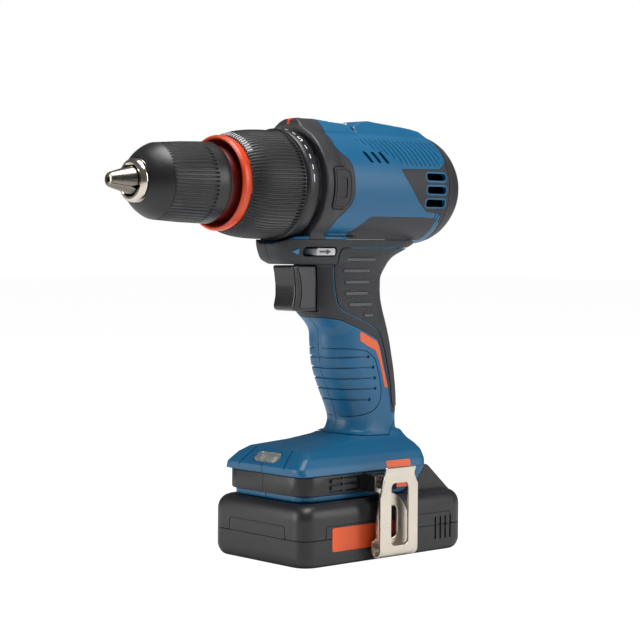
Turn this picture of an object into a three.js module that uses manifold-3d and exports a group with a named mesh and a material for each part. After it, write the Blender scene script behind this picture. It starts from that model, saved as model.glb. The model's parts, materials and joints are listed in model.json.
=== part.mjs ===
// Cordless drill driver. Millimetres, +Z up, nose along -Y, clip side along +X.
// The origin is the middle of the battery's flat underside, where the drill stands.
import * as THREE from "three";
import { mergeVertices } from "three/addons/utils/BufferGeometryUtils.js";
import Module from "manifold-3d";

const wasm = await Module();
wasm.setup();

// ---------------------------------------------------------------- driving dimensions
const gap = 0.3; // between neighbours that touch
const splitGap = 0.15; // each half shell stops this far from the middle plane
const degree = Math.PI / 180;
const fine = 24; // sides of the largest round pieces
const plain = 16; // sides of the other round pieces

// Whole tool
const axisHeight = 200; // spindle line above the bench
const barrelRadius = 31;
const flangeExtra = 1.5; // how far the front flange stands over the barrel
const wall = 2.6; // shell of the barrel and the foot
const gripWall = 4.2; // shell of the handle, with its soft layer
const softLayer = 2; // thickness of the overmoulded grip
const handleHalfWidth = 17;
const flangeFront = -40;
const tailSeam = 53;
const tailEnd = 77;

// Battery pack
const packLength = 120;
const packWidth = 76;
const packHeight = 33;
const packCorner = 8;
const packWall = 2.5;
const packSplit = 14.5; // height of the parting line
const cellCount = 5;
const railGap = 0.6; // clearance of the sliding rails
const towerFront = -30;
const railHeight = 2;
const railDepth = 2.5;

// Foot
const footFront = -57;
const footLift = 3.5; // of the foot band over the pack
const footBandHeight = 10.5;
const bandDepth = 2.8;

// Gearbox
const caseWall = 2.2;
const ringRim = 2;
const ringTeeth = 36;
const planetTeeth = 12;
const sunTeeth = 12;
const planetCount = 3;
const pinRadius = 2.2;
const gearFace = 9.4; // face width of a planet
const frontStage = -28.4; // where each stage's planets start
const rearStage = -12.6;
const carrierThickness = 3;
const casePlateAt = -1;
const plateThickness = 3;
const noseTubeRadius = 16.5;
const noseTubeEnd = -77;
const bearingWidth = 6.4;
const bearingRadius = 13;
const spindleRadius = 6;

// Motor
const motorFront = 3;
const motorRear = 50;
const canWall = 1.5;
const shaftRadius = 2.3;

// Chuck
const jawTip = -156.6;
const chuckFront = -143.6;
const chuckRear = -94.6;
const jawAngle = 15.5 * degree;
const jawRadius = 3.3;
const jawLength = 28.5;
const jawTipOffset = 1; // of the jaw's own axis from the spindle line, at its tip
const sleeveRadius = 20.9;
const sleeveWall = 2;

// Controls
const collarRadius = 30;
const collarWall = 2.8;
const collarRear = -43;
const modeRingLip = 24.4;
const triggerHalf = 8.5;
const triggerTravel = 7;
const triggerRear = -18;
const selectorLength = 13.3;
const selectorForward = 6.2;
const selectorBack = 1.5;
const selectorFront = -36.3;
const speedTravel = 6;

// Belt clip
const clipSheet = 1.5;
const clipFoldLow = 2.4;

// Worked out from the values above
const boreRadius = barrelRadius - wall;
const caseRadius = boreRadius - 0.4;
const ringRadius = caseRadius - caseWall - gap;
const addendum = 0.75;
const dedendum = 1;
const toothModule = (ringRadius - ringRim) / (ringTeeth / 2 + dedendum);
const planetOrbit = (toothModule * (sunTeeth + planetTeeth)) / 2;
const carrierRadius = planetOrbit + pinRadius + 1.4;
const halfLength = packLength / 2;
const packHalf = packWidth / 2;
const cellPitch = (packLength - 2 * packWall - 6) / cellCount;
const cellRadius = cellPitch / 2 - 1.8;
const cellLength = packWidth - 2 * packWall + 2 - packCorner;
const footHalf = packHalf - 6;
const towerHalf = footHalf - 7;
const towerTop = packHeight + 13.5;
const railLevel = packHeight + 5.1;
const footBandLow = packHeight + footLift;
const footBandHigh = footBandLow + footBandHeight;
const clipBossReach = packHalf + 2;
const clipOuter = clipBossReach + 7.7;
const motorRadius = barrelRadius - 12.5;
const armatureRadius = motorRadius - 3.5;
const noseRadius = jawTipOffset + jawRadius + 6.8;
const chuckBodyRadius = sleeveRadius - 4.3;

// The handle's heights are drawn between these two and stretched to join foot and barrel.
const drawnFoot = 66;
const drawnTop = 169;
const handleFoot = footBandHigh + 19;
const handleTop = axisHeight - barrelRadius;
const up = (drawn) =>
  handleFoot + ((drawn - drawnFoot) * (handleTop - handleFoot)) / (drawnTop - drawnFoot);
const raised = (outline) => outline.map(([y, drawn]) => [y, up(drawn)]);
const selectorLow = up(162.7);
const selectorHigh = up(166.7);
const triggerLine = up(145); // height of the trigger's spring

// ---------------------------------------------------------------- finishes
const finishes = {
  bluePlastic: { color: 0x2c6c9c, roughness: 0.5, metalness: 0 },
  charcoalPlastic: { color: 0x47474c, roughness: 0.6, metalness: 0 },
  softGrip: { color: 0x3f4043, roughness: 0.85, metalness: 0 },
  blackPlastic: { color: 0x28292c, roughness: 0.5, metalness: 0 },
  glossBlack: { color: 0x1d1e20, roughness: 0.25, metalness: 0 },
  orangePlastic: { color: 0xe2561f, roughness: 0.4, metalness: 0 },
  greyPlastic: { color: 0xb9babb, roughness: 0.5, metalness: 0 },
  clearLens: { color: 0xe8eef2, roughness: 0.1, metalness: 0 },
  steel: { color: 0x8d8f92, roughness: 0.35, metalness: 1 },
  darkSteel: { color: 0x55534f, roughness: 0.35, metalness: 1 },
  nickel: { color: 0xcfc8bb, roughness: 0.3, metalness: 1 },
  aluminium: { color: 0xb4b6b9, roughness: 0.45, metalness: 1 },
  brass: { color: 0xb9923f, roughness: 0.35, metalness: 1 },
  cellWrap: { color: 0x3b7f6a, roughness: 0.4, metalness: 0 },
  board: { color: 0x1f5a38, roughness: 0.6, metalness: 0 },
};

// ---------------------------------------------------------------- solids
function solidFrom(vertProperties, triVerts) {
  return new wasm.Manifold(new wasm.Mesh({ numProp: 3, vertProperties, triVerts }));
}

// A closed geometry as a solid with its faces turned out.
function solid(geometry) {
  const bare = geometry.index ? geometry.toNonIndexed() : geometry.clone();
  bare.deleteAttribute("normal");
  bare.deleteAttribute("uv");
  const merged = mergeVertices(bare, 1e-4);
  const corners = [];
  for (let i = 0; i < merged.index.count; i += 3) {
    const [a, b, c] = [0, 1, 2].map((k) => merged.index.getX(i + k));
    if (a !== b && b !== c && a !== c) corners.push([a, b, c]);
  }
  const points = new Float32Array(merged.attributes.position.array);
  const made = solidFrom(points, new Uint32Array(corners.flat()));
  if (made.volume() > 0) return made;
  return solidFrom(points, new Uint32Array(corners.map(([a, b, c]) => [a, c, b]).flat()));
}

function geometryOf(made) {
  const { vertProperties, triVerts } = made.getMesh();
  const geometry = new THREE.BufferGeometry();
  geometry.setAttribute("position", new THREE.BufferAttribute(vertProperties, 3));
  geometry.setIndex(new THREE.BufferAttribute(triVerts, 1));
  geometry.computeVertexNormals();
  return geometry;
}

const united = (first, ...rest) => rest.reduce((all, next) => all.add(next), first);
const cut = (first, ...rest) => rest.reduce((all, next) => all.subtract(next), first);

// The largest body of a shape, without the slivers that a cut leaves.
const largest = (shape) => shape.decompose().sort((a, b) => b.volume() - a.volume())[0];

function block(x0, x1, y0, y1, z0, z1) {
  const box = new THREE.BoxGeometry(x1 - x0, y1 - y0, z1 - z0);
  box.translate((x0 + x1) / 2, (y0 + y1) / 2, (z0 + z1) / 2);
  return solid(box);
}

// A profile of [radius, y] turned round the Y axis through (0, height).
function turned(profile, segments = plain, height = 0) {
  const points = profile.map(([r, y]) => new THREE.Vector2(r, y));
  if (profile[0][0] > 0) points.push(points[0].clone());
  return solid(new THREE.LatheGeometry(points, segments).translate(0, 0, height));
}

const tube = (inner, outer, y0, y1, segments = plain, height = 0) =>
  turned([[inner, y0], [outer, y0], [outer, y1], [inner, y1]], segments, height);

const rod = (radius, y0, y1, segments = plain, height = 0) =>
  turned([[0, y0], [radius, y0], [radius, y1], [0, y1]], segments, height);

function extruded(outline, depth, holes = []) {
  const shape = new THREE.Shape(outline.map(([a, b]) => new THREE.Vector2(a, b)));
  for (const hole of holes) {
    shape.holes.push(new THREE.Path(hole.map(([a, b]) => new THREE.Vector2(a, b))));
  }
  return new THREE.ExtrudeGeometry(shape, { depth, bevelEnabled: false });
}

// An outline of [y, z] extruded across the tool, from x0 to x1.
function slabX(outline, x0, x1) {
  const turn = new THREE.Matrix4().set(0, 0, 1, x0, 1, 0, 0, 0, 0, 1, 0, 0, 0, 0, 0, 1);
  return solid(extruded(outline, x1 - x0).applyMatrix4(turn));
}

// An outline of [x, z] extruded along the tool, from y0 to y1.
function slabY(outline, y0, y1) {
  const turn = new THREE.Matrix4().set(1, 0, 0, 0, 0, 0, -1, y1, 0, 1, 0, 0, 0, 0, 0, 1);
  return solid(extruded(outline, y1 - y0).applyMatrix4(turn));
}

function pinX(radius, x0, x1, y, z, segments = 12) {
  const pin = new THREE.CylinderGeometry(radius, radius, x1 - x0, segments);
  return solid(pin.rotateZ(-Math.PI / 2).translate((x0 + x1) / 2, y, z));
}

// Closed skin over rings of equal point counts, listed from the lowest to the highest.
function loft(rings) {
  const count = rings[0].length;
  const points = rings.flat();
  const faces = [];
  for (let level = 0; level + 1 < rings.length; level += 1) {
    for (let i = 0; i < count; i += 1) {
      const a = level * count + i;
      const b = level * count + ((i + 1) % count);
      faces.push([a, b, b + count], [a, b + count, a + count]);
    }
  }
  for (const [level, flip] of [[0, true], [rings.length - 1, false]]) {
    const middle = points.length;
    const ring = rings[level];
    points.push(ring.reduce((sum, p) => sum.add(p), new THREE.Vector3()).divideScalar(count));
    for (let i = 0; i < count; i += 1) {
      const a = level * count + i;
      const b = level * count + ((i + 1) % count);
      faces.push(flip ? [b, a, middle] : [a, b, middle]);
    }
  }
  const geometry = new THREE.BufferGeometry().setFromPoints(points);
  geometry.setIndex(faces.flat());
  return solid(geometry);
}

// A level ring, rounder or squarer with its power, inset all round.
function ovalRing([z, front, rear, half], inset, power = 2.8, count = 16) {
  return Array.from({ length: count }, (_, i) => {
    const turn = (2 * Math.PI * i) / count;
    const bend = (v) => Math.sign(v) * Math.abs(v) ** (2 / power);
    return new THREE.Vector3(
      (half - inset) * bend(Math.cos(turn)),
      (front + rear) / 2 + ((rear - front) / 2 - inset) * bend(Math.sin(turn)),
      z,
    );
  });
}

// A level rounded rectangle, inset all round.
function boxRing([z, front, rear, half, corner], inset, steps = 3) {
  const round = Math.max(corner - inset, 1);
  const [right, back, left, fore] = [half - inset, rear - inset, inset - half, front + inset];
  const corners = [[right, back, 0], [left, back, 90], [left, fore, 180], [right, fore, 270]];
  return corners.flatMap(([x, y, start]) =>
    Array.from({ length: steps + 1 }, (_, i) => {
      const turn = (start + (90 * i) / steps) * degree;
      return new THREE.Vector3(
        x - Math.sign(x) * round + round * Math.cos(turn),
        y - (y === back ? 1 : -1) * round + round * Math.sin(turn),
        z,
      );
    }),
  );
}

// An outline moved outwards by a distance, its points listed anticlockwise.
function grown(outline, by) {
  return outline.map((here, i) => {
    const before = outline.at(i - 1);
    const after = outline[(i + 1) % outline.length];
    const normal = ([a, b], [c, d]) => {
      const length = Math.hypot(c - a, d - b);
      return [(d - b) / length, (a - c) / length];
    };
    const [n, m] = [normal(before, here), normal(here, after)];
    const share = by / (1 + n[0] * m[0] + n[1] * m[1]);
    return [here[0] + (n[0] + m[0]) * share, here[1] + (n[1] + m[1]) * share];
  });
}

class Helix extends THREE.Curve {
  constructor(radius, turns, from, to) {
    super();
    Object.assign(this, { radius, turns, from, to });
  }
  getPoint(t, target = new THREE.Vector3()) {
    const turn = 2 * Math.PI * this.turns * t;
    const y = this.from + (this.to - this.from) * t;
    return target.set(this.radius * Math.cos(turn), y, this.radius * Math.sin(turn));
  }
}

// A coil spring about the Y axis whose ends lie at y0 and y1.
function coil(radius, wire, turns, y0, y1) {
  const path = new Helix(radius, turns, y0 + wire, y1 - wire);
  const round = new THREE.Shape(circle(wire, 5).map(([a, b]) => new THREE.Vector2(a, b)));
  const settings = { steps: turns * 8, extrudePath: path, bevelEnabled: false };
  return solid(new THREE.ExtrudeGeometry(round, settings));
}

// ---------------------------------------------------------------- scene
const drill = new THREE.Group();
const spindleLine = new THREE.Group();
spindleLine.position.z = axisHeight;
drill.add(spindleLine);

function place(parent, name, shape, finish) {
  const mesh = new THREE.Mesh(geometryOf(shape), new THREE.MeshStandardMaterial(finishes[finish]));
  mesh.name = name;
  parent.add(mesh);
  return mesh;
}

// ---------------------------------------------------------------- outer form
// Every level is [height, front, rear, half width].
const handleLevels = [
  [60, -9, 37, 18],
  [66, -5.5, 35, 16.5],
  [72.4, -3, 34.2, 16],
  [79.2, -5.2, 34.8, 16.2],
  [85.5, -8.2, 34.5, 16.6],
  [92.2, -11.3, 33.7, handleHalfWidth],
  [99.6, -14.4, 32.8, handleHalfWidth],
  [107.9, -16.3, 31, handleHalfWidth],
  [115, -16.8, 29.4, handleHalfWidth],
  [122.8, -17.8, 27, handleHalfWidth],
  [128, -22.5, 25.5, handleHalfWidth],
  [132, -27, 24.3, handleHalfWidth],
  [140, -27.5, 22, handleHalfWidth],
  [149, -27.5, 22, handleHalfWidth],
  [156, -28, 25.5, handleHalfWidth + 0.5],
  [162, -28, 31.5, handleHalfWidth + 1.5],
  [167, -28, 43.5, handleHalfWidth + 2],
  [171, -28, 50, handleHalfWidth + 2.5],
  [178, -28, 50, handleHalfWidth + 2.5],
].map(([drawn, ...rest]) => [up(drawn), ...rest]);
const saddleLevels = [
  [157.9, -47, 8, handleHalfWidth + 0.5],
  [160, -51.5, 8, handleHalfWidth + 1.5],
  [163, -53.5, 8, handleHalfWidth + 2],
  [170, -55, 8, handleHalfWidth + 3],
  [173, -55, 8, handleHalfWidth + 3.5],
].map(([drawn, ...rest]) => [up(drawn), ...rest]);
const footLevels = [
  [packHeight + gap, -53.5, 25, footHalf - 2, 8],
  [footBandLow - 0.1, -54, 27.3, footHalf - 1.5, 9],
  [footBandLow, -56 + bandDepth, 27.3, footHalf - bandDepth, 8],
  [footBandHigh, -56 + bandDepth, 35.4, footHalf - bandDepth, 8],
  [footBandHigh + 0.1, footFront, 35.5, footHalf, 9],
  [footBandHigh + 4, footFront, 36.6, footHalf - 1.4, 9],
  [footBandHigh + 9, footFront + 5.4, 36.5, footHalf - 3.8, 8],
  [footBandHigh + 12.3, footFront + 9.5, 36.3, footHalf - 8.5, 7],
  [footBandHigh + 14.5, -25, 36.2, handleHalfWidth + 2.5, 7],
  [footBandHigh + 17, -10, 36, handleHalfWidth + 0.5, 7],
  [handleFoot, -5.5, 35.5, handleHalfWidth - 0.4, 7],
];

const handleForm = (inset, levels = handleLevels) =>
  loft(levels.map((level) => ovalRing(level, inset)));
const everyOther = (levels) => levels.filter((_, i) => i % 2 === 0);
const saddleForm = (inset) => loft(saddleLevels.map((level) => ovalRing(level, inset)));
const footForm = (inset, levels = footLevels) =>
  loft(levels.map((level) => boxRing(level, inset)));

// The barrel with its flange and domed tail, inset all round.
function barrelForm(inset, front = flangeFront) {
  const r = barrelRadius - inset;
  const flange = r + flangeExtra;
  const end = tailEnd - inset;
  return turned([
    [0, front],
    [flange, front],
    [flange, flangeFront + 8],
    [r, flangeFront + 14],
    [r, tailSeam - 2],
    [r - 2.7, tailSeam + 8],
    [r - 5, tailSeam + 11.5],
    [r - 10, end - 6],
    [r - 18, end - 1],
    [0, end],
  ], fine, axisHeight);
}

// Top of the tool: a hump over the gearbox and a faceted spine over the motor.
function topRidge() {
  const low = axisHeight + barrelRadius - 5;
  const hump = slabX([
    [flangeFront, low],
    [-1, low],
    [-3, low + 7.4],
    [-12, low + 8.5],
    [-26, low + 10],
    [flangeFront + 2, low + 9.9],
    [flangeFront, low + 9.4],
  ], -20, 20);
  const humpSection = slabY([
    [-14.5, low], [14.5, low], [9, low + 7], [4.5, low + 10.2], [-4.5, low + 10.2], [-9, low + 7],
  ], flangeFront - 1, 0);
  const spine = slabX([
    [-1, low],
    [tailSeam - 1, low],
    [tailSeam - 1, low + 3.8],
    [49, low + 6.3],
    [41.1, low + 7.7],
    [12.6, low + 10.5],
    [6.6, low + 9.9],
    [-0.8, low + 6.9],
  ], -20, 20);
  const spineSection = slabY([[-13, low], [13, low], [7, low + 10.6], [-7, low + 10.6]], -2, 60);
  return hump.intersect(humpSection).add(spine.intersect(spineSection));
}

const collarRoom = rod(collarRadius + 1.2, flangeFront - 30, flangeFront - 0.6, fine, axisHeight);
const outerForm = cut(
  united(barrelForm(0), handleForm(0), saddleForm(0), footForm(0), topRidge()),
  collarRoom,
);

// Line where the charcoal front cover meets the blue shell, seen from the side: each y with
// its height from the spindle line as a share of the barrel's radius.
const coverEdge = [
  [-31, -0.9258], [-27.2, -0.5903], [-22.9, -0.4387], [-20.1, -0.3194],
  [-19.1, -0.1839], [-19.2, 0.2065], [-19.5, 0.3419], [-21.1, 0.4452],
  [-25.5, 0.5613], [-27.4, 0.6677], [-26, 0.8161], [-24, 1.3],
].map(([y, share]) => [y, axisHeight + share * barrelRadius]);
const coverOutline = [
  [flangeFront - 0.3, coverEdge[0][1]], ...coverEdge, [flangeFront - 0.3, coverEdge.at(-1)[1]],
];
// Side view of the soft overmould round the trigger and down the handle's back.
const gripTop = coverEdge[0][1] - gap;
const gripOutline = [...raised([
  [-60, 128.7], [-21.5, 129.3], [-12.8, 127.7], [-1.7, 123.1], [11.9, 117.3], [14.2, 113.4],
  [18.5, 99.4], [22.5, 85], [24.5, 76], [45, 76], [62, 150],
]), [62, gripTop], [-60, gripTop]];

// ---------------------------------------------------------------- trigger and selector
const triggerOutline = raised([
  [-40.5, 132.8], [triggerRear, 132.8], [triggerRear, 157], [-42.9, 157], [-41.9, 152],
  [-41.2, 146.5], [-41.1, 141], [-42.6, 135.5], [-42.3, 134],
]);

function triggerBay() {
  const side = triggerHalf + 0.4;
  return block(-side, side, -60, triggerRear + triggerTravel + 0.8, up(132.8) - 0.5,
    up(157) + 0.5);
}

function selectorSlot() {
  const front = selectorFront - selectorForward - 0.5;
  const rear = selectorFront + selectorLength + selectorBack + 0.5;
  return block(-30, 30, front, rear, selectorLow - 0.6, selectorHigh + 0.6);
}

function speedSlot() {
  const low = axisHeight + barrelRadius - 0.6;
  return united(
    block(-6.8, 6.8, -10.6 - speedTravel, -0.4, low, low + 12),
    block(-3.4, 3.4, -8 - speedTravel, -3, low - 10.4, low + 12),
  );
}

// ---------------------------------------------------------------- fasteners
// Each case screw: its place in side view, the shell's half width there and the shank's reach.
const caseScrews = [
  { name: "handle_top", y: -3, z: up(117), half: handleHalfWidth - 0.6, reach: 11 },
  { name: "handle_low", y: 14, z: up(80), half: handleHalfWidth - 1.2, reach: 10 },
  { name: "foot", y: -38, z: footBandHigh + 6, half: footHalf - 3.4, reach: 16 },
  { name: "barrel", y: 36, z: handleTop + 6, half: handleHalfWidth + 0.6, reach: 11 },
];
const screwHead = 2.9;
const screwShank = 1.5;
const bossRadius = 4.4;

function screwHole({ y, z, half, reach }) {
  return united(
    pinX(screwHead + gap, -half - 8, -half + 3.4, y, z),
    pinX(screwShank + gap, -half, reach + 1, y, z),
  );
}

function caseScrew({ y, z, half, reach }) {
  const head = pinX(screwHead, -half + 0.8, -half + 3.1, y, z);
  const driverPocket = pinX(1.2, -half, -half + 2.2, y, z, 6);
  return cut(head.add(pinX(screwShank, -half + 2, reach, y, z, 12)), driverPocket);
}

// ---------------------------------------------------------------- housing
function ventCuts() {
  const rear = [-1, 0, 1].map((row) => {
    const z = axisHeight - 1.2 + row * 7.2;
    return slabX([[37, z - 2], [49, z - 2], [50.5, z], [49, z + 2], [37, z + 2], [35.5, z]], -40, 40);
  });
  const front = [0, 1, 2].map((row) => {
    const y = -9.5 + row * 5.8;
    const low = axisHeight + barrelRadius * 0.4064;
    return slabX([[y + 3.4, low], [y + 5.2, low], [y + 1.8, low + 5.6], [y, low + 5.6]], -40, 40);
  });
  return united(...rear, ...front);
}

function motorRibs() {
  const ribAt = (y) => tube(motorRadius + 0.4, boreRadius + 0.6, y, y + 2, fine, axisHeight);
  return united(ribAt(14), ribAt(44));
}

function footInside() {
  const side = towerHalf + railGap;
  return united(
    footForm(wall, footLevels.slice(2, -1)),
    block(-side, side, footFront + 6.8, 60, packHeight - 3, towerTop + railGap),
  );
}

function rails() {
  const inner = towerHalf - railDepth + railGap;
  const outer = footHalf - 5;
  const rail = (side) =>
    block(Math.min(side * inner, side * outer), Math.max(side * inner, side * outer),
      -48, 24, railLevel - railHeight / 2, railLevel + railHeight / 2);
  return rail(1).add(rail(-1));
}

const lampAngle = Math.atan2(8.3, 9.5); // slope of the foot's front
function lampBox(width, height, depth, sink) {
  const box = new THREE.BoxGeometry(width, height, depth).translate(0, 0, -depth / 2 + sink);
  box.rotateX(lampAngle).translate(0, footFront + 4.75, footBandHigh + 8.15);
  return solid(box);
}

function housingShell() {
  const voids = united(
    barrelForm(wall, flangeFront - 6),
    handleForm(gripWall, everyOther(handleLevels)),
    loft([161, 167.2].map((z) => ovalRing([up(z), -54, 8, handleHalfWidth + 2], gripWall))),
    footInside(),
  );
  const bosses = united(
    ...caseScrews.map(({ y, z, half }) => pinX(bossRadius, -half, half, y, z)),
    motorRibs(),
    rails(),
  );
  const softPocket = slabX(grown(gripOutline, gap), -60, 60).subtract(
    united(handleForm(softLayer + gap), saddleForm(softLayer + gap), barrelForm(0)),
  );
  const coverPocket = slabX(grown(coverOutline, gap), -60, 60).subtract(
    rod(boreRadius - gap, -70, 0, fine, axisHeight),
  );
  return cut(
    cut(outerForm, voids).add(bosses.intersect(outerForm)),
    softPocket,
    coverPocket,
    block(-60, 60, tailSeam, 120, handleTop - 19, 2 * axisHeight),
    triggerBay(),
    selectorSlot(),
    speedSlot(),
    ventCuts(),
    lampBox(18.6, 7.8, 6, 3),
    ...caseScrews.map(screwHole),
    pinX(2, footHalf - 6, footHalf + 1, clipScrewAt[0], clipScrewAt[1]),
  );
}

function sideBlock(side) {
  const [near, far] = [splitGap * side, 80 * side];
  return block(Math.min(near, far), Math.max(near, far), -80, 100, 0, 2 * axisHeight);
}

function gripOvermould() {
  const skin = cut(
    slabX(gripOutline, -60, 60).intersect(outerForm),
    united(handleForm(softLayer), saddleForm(softLayer), barrelForm(-gap)),
  );
  const barrel = rod(barrelRadius + 2, -42, 60, fine, axisHeight);
  return cut(skin, triggerBay(), selectorSlot(), barrel, ...caseScrews.map(screwHole));
}

function frontCover() {
  return cut(
    slabX(coverOutline, -60, 60).intersect(outerForm),
    rod(boreRadius, -70, 0, fine, axisHeight),
    speedSlot(),
  );
}

function tailCap() {
  const y = tailSeam + gap;
  const behind = block(-60, 60, y, 120, handleTop - 19, 2 * axisHeight);
  const shell = outerForm.intersect(behind).subtract(barrelForm(wall));
  const bearingSeat = tube(7.4, 10, 64, tailEnd - wall + 1, plain, axisHeight);
  return shell.add(bearingSeat.intersect(outerForm));
}

function buildHousing() {
  const shell = housingShell();
  const grip = gripOvermould();
  for (const [side, word] of [[1, "left"], [-1, "right"]]) {
    place(drill, `housing_${word}`, shell.intersect(sideBlock(side)), "bluePlastic");
    place(drill, `grip_overmould_${word}`, grip.intersect(sideBlock(side)), "softGrip");
  }
  place(drill, "front_cover", frontCover(), "charcoalPlastic");
  place(drill, "tail_cap", tailCap(), "charcoalPlastic");
  for (const screw of caseScrews) {
    place(drill, `case_screw_${screw.name}`, caseScrew(screw), "darkSteel");
  }
  place(drill, "lamp_lens", lampBox(18, 7.2, 2.4, 0.3), "clearLens");
}

// ---------------------------------------------------------------- foot band and belt clip
const clipScrewAt = [-8, footBandLow + 5.1];

function buildBand() {
  const low = footBandLow + 0.2;
  const high = footBandHigh - 0.2;
  const band = loft([
    boxRing([low, -55.6, 27, footHalf - 0.2, 9], 0),
    boxRing([high, -55.6, 35, footHalf, 9], 0),
  ]).subtract(loft([
    boxRing([low - 1, -56 + bandDepth, 60, footHalf - bandDepth, 8], -gap),
    boxRing([high + 1, -56 + bandDepth, 60, footHalf - bandDepth, 8], -gap),
  ]));
  const bossBottom = low + 0.3;
  const clipBoss = block(footHalf - 1, clipBossReach, -12.8, 5, bossBottom, high);
  const bitRest = block(footHalf - 1.4, footHalf + 1, -37.4, -14.5, low + 1.2, high - 1.2);
  const screwWay = pinX(2, footHalf - 6, 60, ...clipScrewAt);
  const left = cut(band.intersect(sideBlock(1)).add(clipBoss), bitRest, screwWay);
  place(drill, "foot_band_left", left, "blackPlastic");
  place(drill, "foot_band_right", band.intersect(sideBlock(-1)), "blackPlastic");
}

// Two upright plates joined by a fold under them, as one bent strip, seen along Y.
function clipStrip() {
  const inner = clipBossReach + gap;
  const middle = (inner + clipOuter) / 2;
  const outerBend = (clipOuter - inner) / 2;
  const foldAt = clipFoldLow + outerBend;
  const top = footBandHigh - 1;
  const arc = (radius, from, to) =>
    Array.from({ length: 7 }, (_, i) => {
      const turn = (from + ((to - from) * i) / 6) * degree;
      return [middle + radius * Math.cos(turn), foldAt + radius * Math.sin(turn)];
    });
  return slabY([
    [inner, top],
    ...arc(outerBend, 180, 360),
    [clipOuter, top],
    [clipOuter + 1.3, top + 4.2],
    [clipOuter, top + 4.6],
    [clipOuter - clipSheet, top + 0.4],
    ...arc(outerBend - clipSheet, 360, 180),
    [inner + clipSheet, top],
  ], -14.5, 13.4);
}

function stadium(y0, y1, z0, z1) {
  const radius = (y1 - y0) / 2;
  const middle = (y0 + y1) / 2;
  const end = (z, from) =>
    Array.from({ length: 6 }, (_, i) => {
      const turn = (from + 36 * i) * degree;
      return [middle + radius * Math.cos(turn), z + radius * Math.sin(turn)];
    });
  return [...end(z0 + radius, 180), ...end(z1 - radius, 0)];
}

function buildClip() {
  const plate = clipBossReach + gap;
  const past = plate + clipSheet + 0.8;
  const innerTrim = united(
    slabX([[-4, 60], [-4, 37], [1.4, 35.6], [5.9, 33], [10.5, 26.7], [12, 23], [12, 12], [20, 12],
      [20, 60]], plate - 1, past),
    slabX([[-20, 60], [-20, 12], [-11.5, 12], [-11, 25], [-9, 33], [-9.5, 36.5], [-12.6, 37.5],
      [-12.6, 60]], plate - 1, past),
    slabX(stadium(-2.6, 3.4, 12, 29), plate - 1, past),
  );
  const outerWindow = slabX(stadium(-6.4, 6.4, 9, 42), past + 1, clipOuter + 5);
  const screwWay = pinX(2, plate - 2, past, ...clipScrewAt);
  place(drill, "belt_clip", cut(clipStrip(), innerTrim, outerWindow, screwWay), "nickel");
  const seat = plate + clipSheet + gap;
  const head = pinX(3.1, seat, seat + 2, ...clipScrewAt);
  const pocket = pinX(1.3, seat + 0.7, seat + 3, ...clipScrewAt, 6);
  const shank = pinX(1.6, footHalf - 4, seat + 0.2, ...clipScrewAt, 12);
  place(drill, "clip_screw", cut(head.add(shank), pocket), "darkSteel");
}

// ---------------------------------------------------------------- gears
// Straight-flanked teeth. Inward teeth point to the centre, for a ring gear.
function toothOutline(teeth, turn, inward) {
  const pitch = (2 * Math.PI) / teeth;
  const side = inward ? -1 : 1;
  const tip = toothModule * (teeth / 2 + side * addendum);
  const root = toothModule * (teeth / 2 - side * dedendum);
  const steps = [[-0.29, root], [-0.11, tip], [0.11, tip], [0.29, root]];
  return Array.from({ length: teeth }, (_, i) => i).flatMap((i) =>
    steps.map(([share, radius]) => {
      const at = (i + share) * pitch + turn;
      return [radius * Math.cos(at), radius * Math.sin(at)];
    }),
  );
}

function circle(radius, count) {
  return Array.from({ length: count }, (_, i) => {
    const at = (2 * Math.PI * i) / count;
    return [radius * Math.cos(at), radius * Math.sin(at)];
  });
}

// A flat gear blank standing along Y from y0.
const alongY = (geometry, y0) => solid(geometry.rotateX(-Math.PI / 2).translate(0, y0, 0));

const planetAngles = Array.from({ length: planetCount }, (_, i) => 90 + (360 / planetCount) * i);

function planet(from) {
  const outline = toothOutline(planetTeeth, Math.PI / planetTeeth, false);
  const bore = circle(pinRadius + gap, 12);
  return alongY(extruded(outline, gearFace, [bore]), from);
}

function ringGear(from) {
  const teeth = toothOutline(ringTeeth, 0, true);
  return alongY(extruded(circle(ringRadius, plain), gearFace + 1, [teeth]), from - 0.5);
}

// A disc whose pins carry the planets that start at y = from.
function carrierPins(from) {
  const pins = planetAngles.map((angle) => {
    const pin = new THREE.CylinderGeometry(pinRadius, pinRadius, gearFace + 1.4, 12);
    pin.translate(
      planetOrbit * Math.cos(angle * degree),
      from + gearFace / 2 - 0.3,
      -planetOrbit * Math.sin(angle * degree),
    );
    return solid(pin);
  });
  const plate = rod(carrierRadius, from - gap - carrierThickness, from - gap);
  return united(plate, ...pins);
}

function sunGear(from, to, bore) {
  const outline = toothOutline(sunTeeth, 0, false);
  const holes = bore ? [circle(bore, 12)] : [];
  return alongY(extruded(outline, to - from, holes), from);
}

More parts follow.
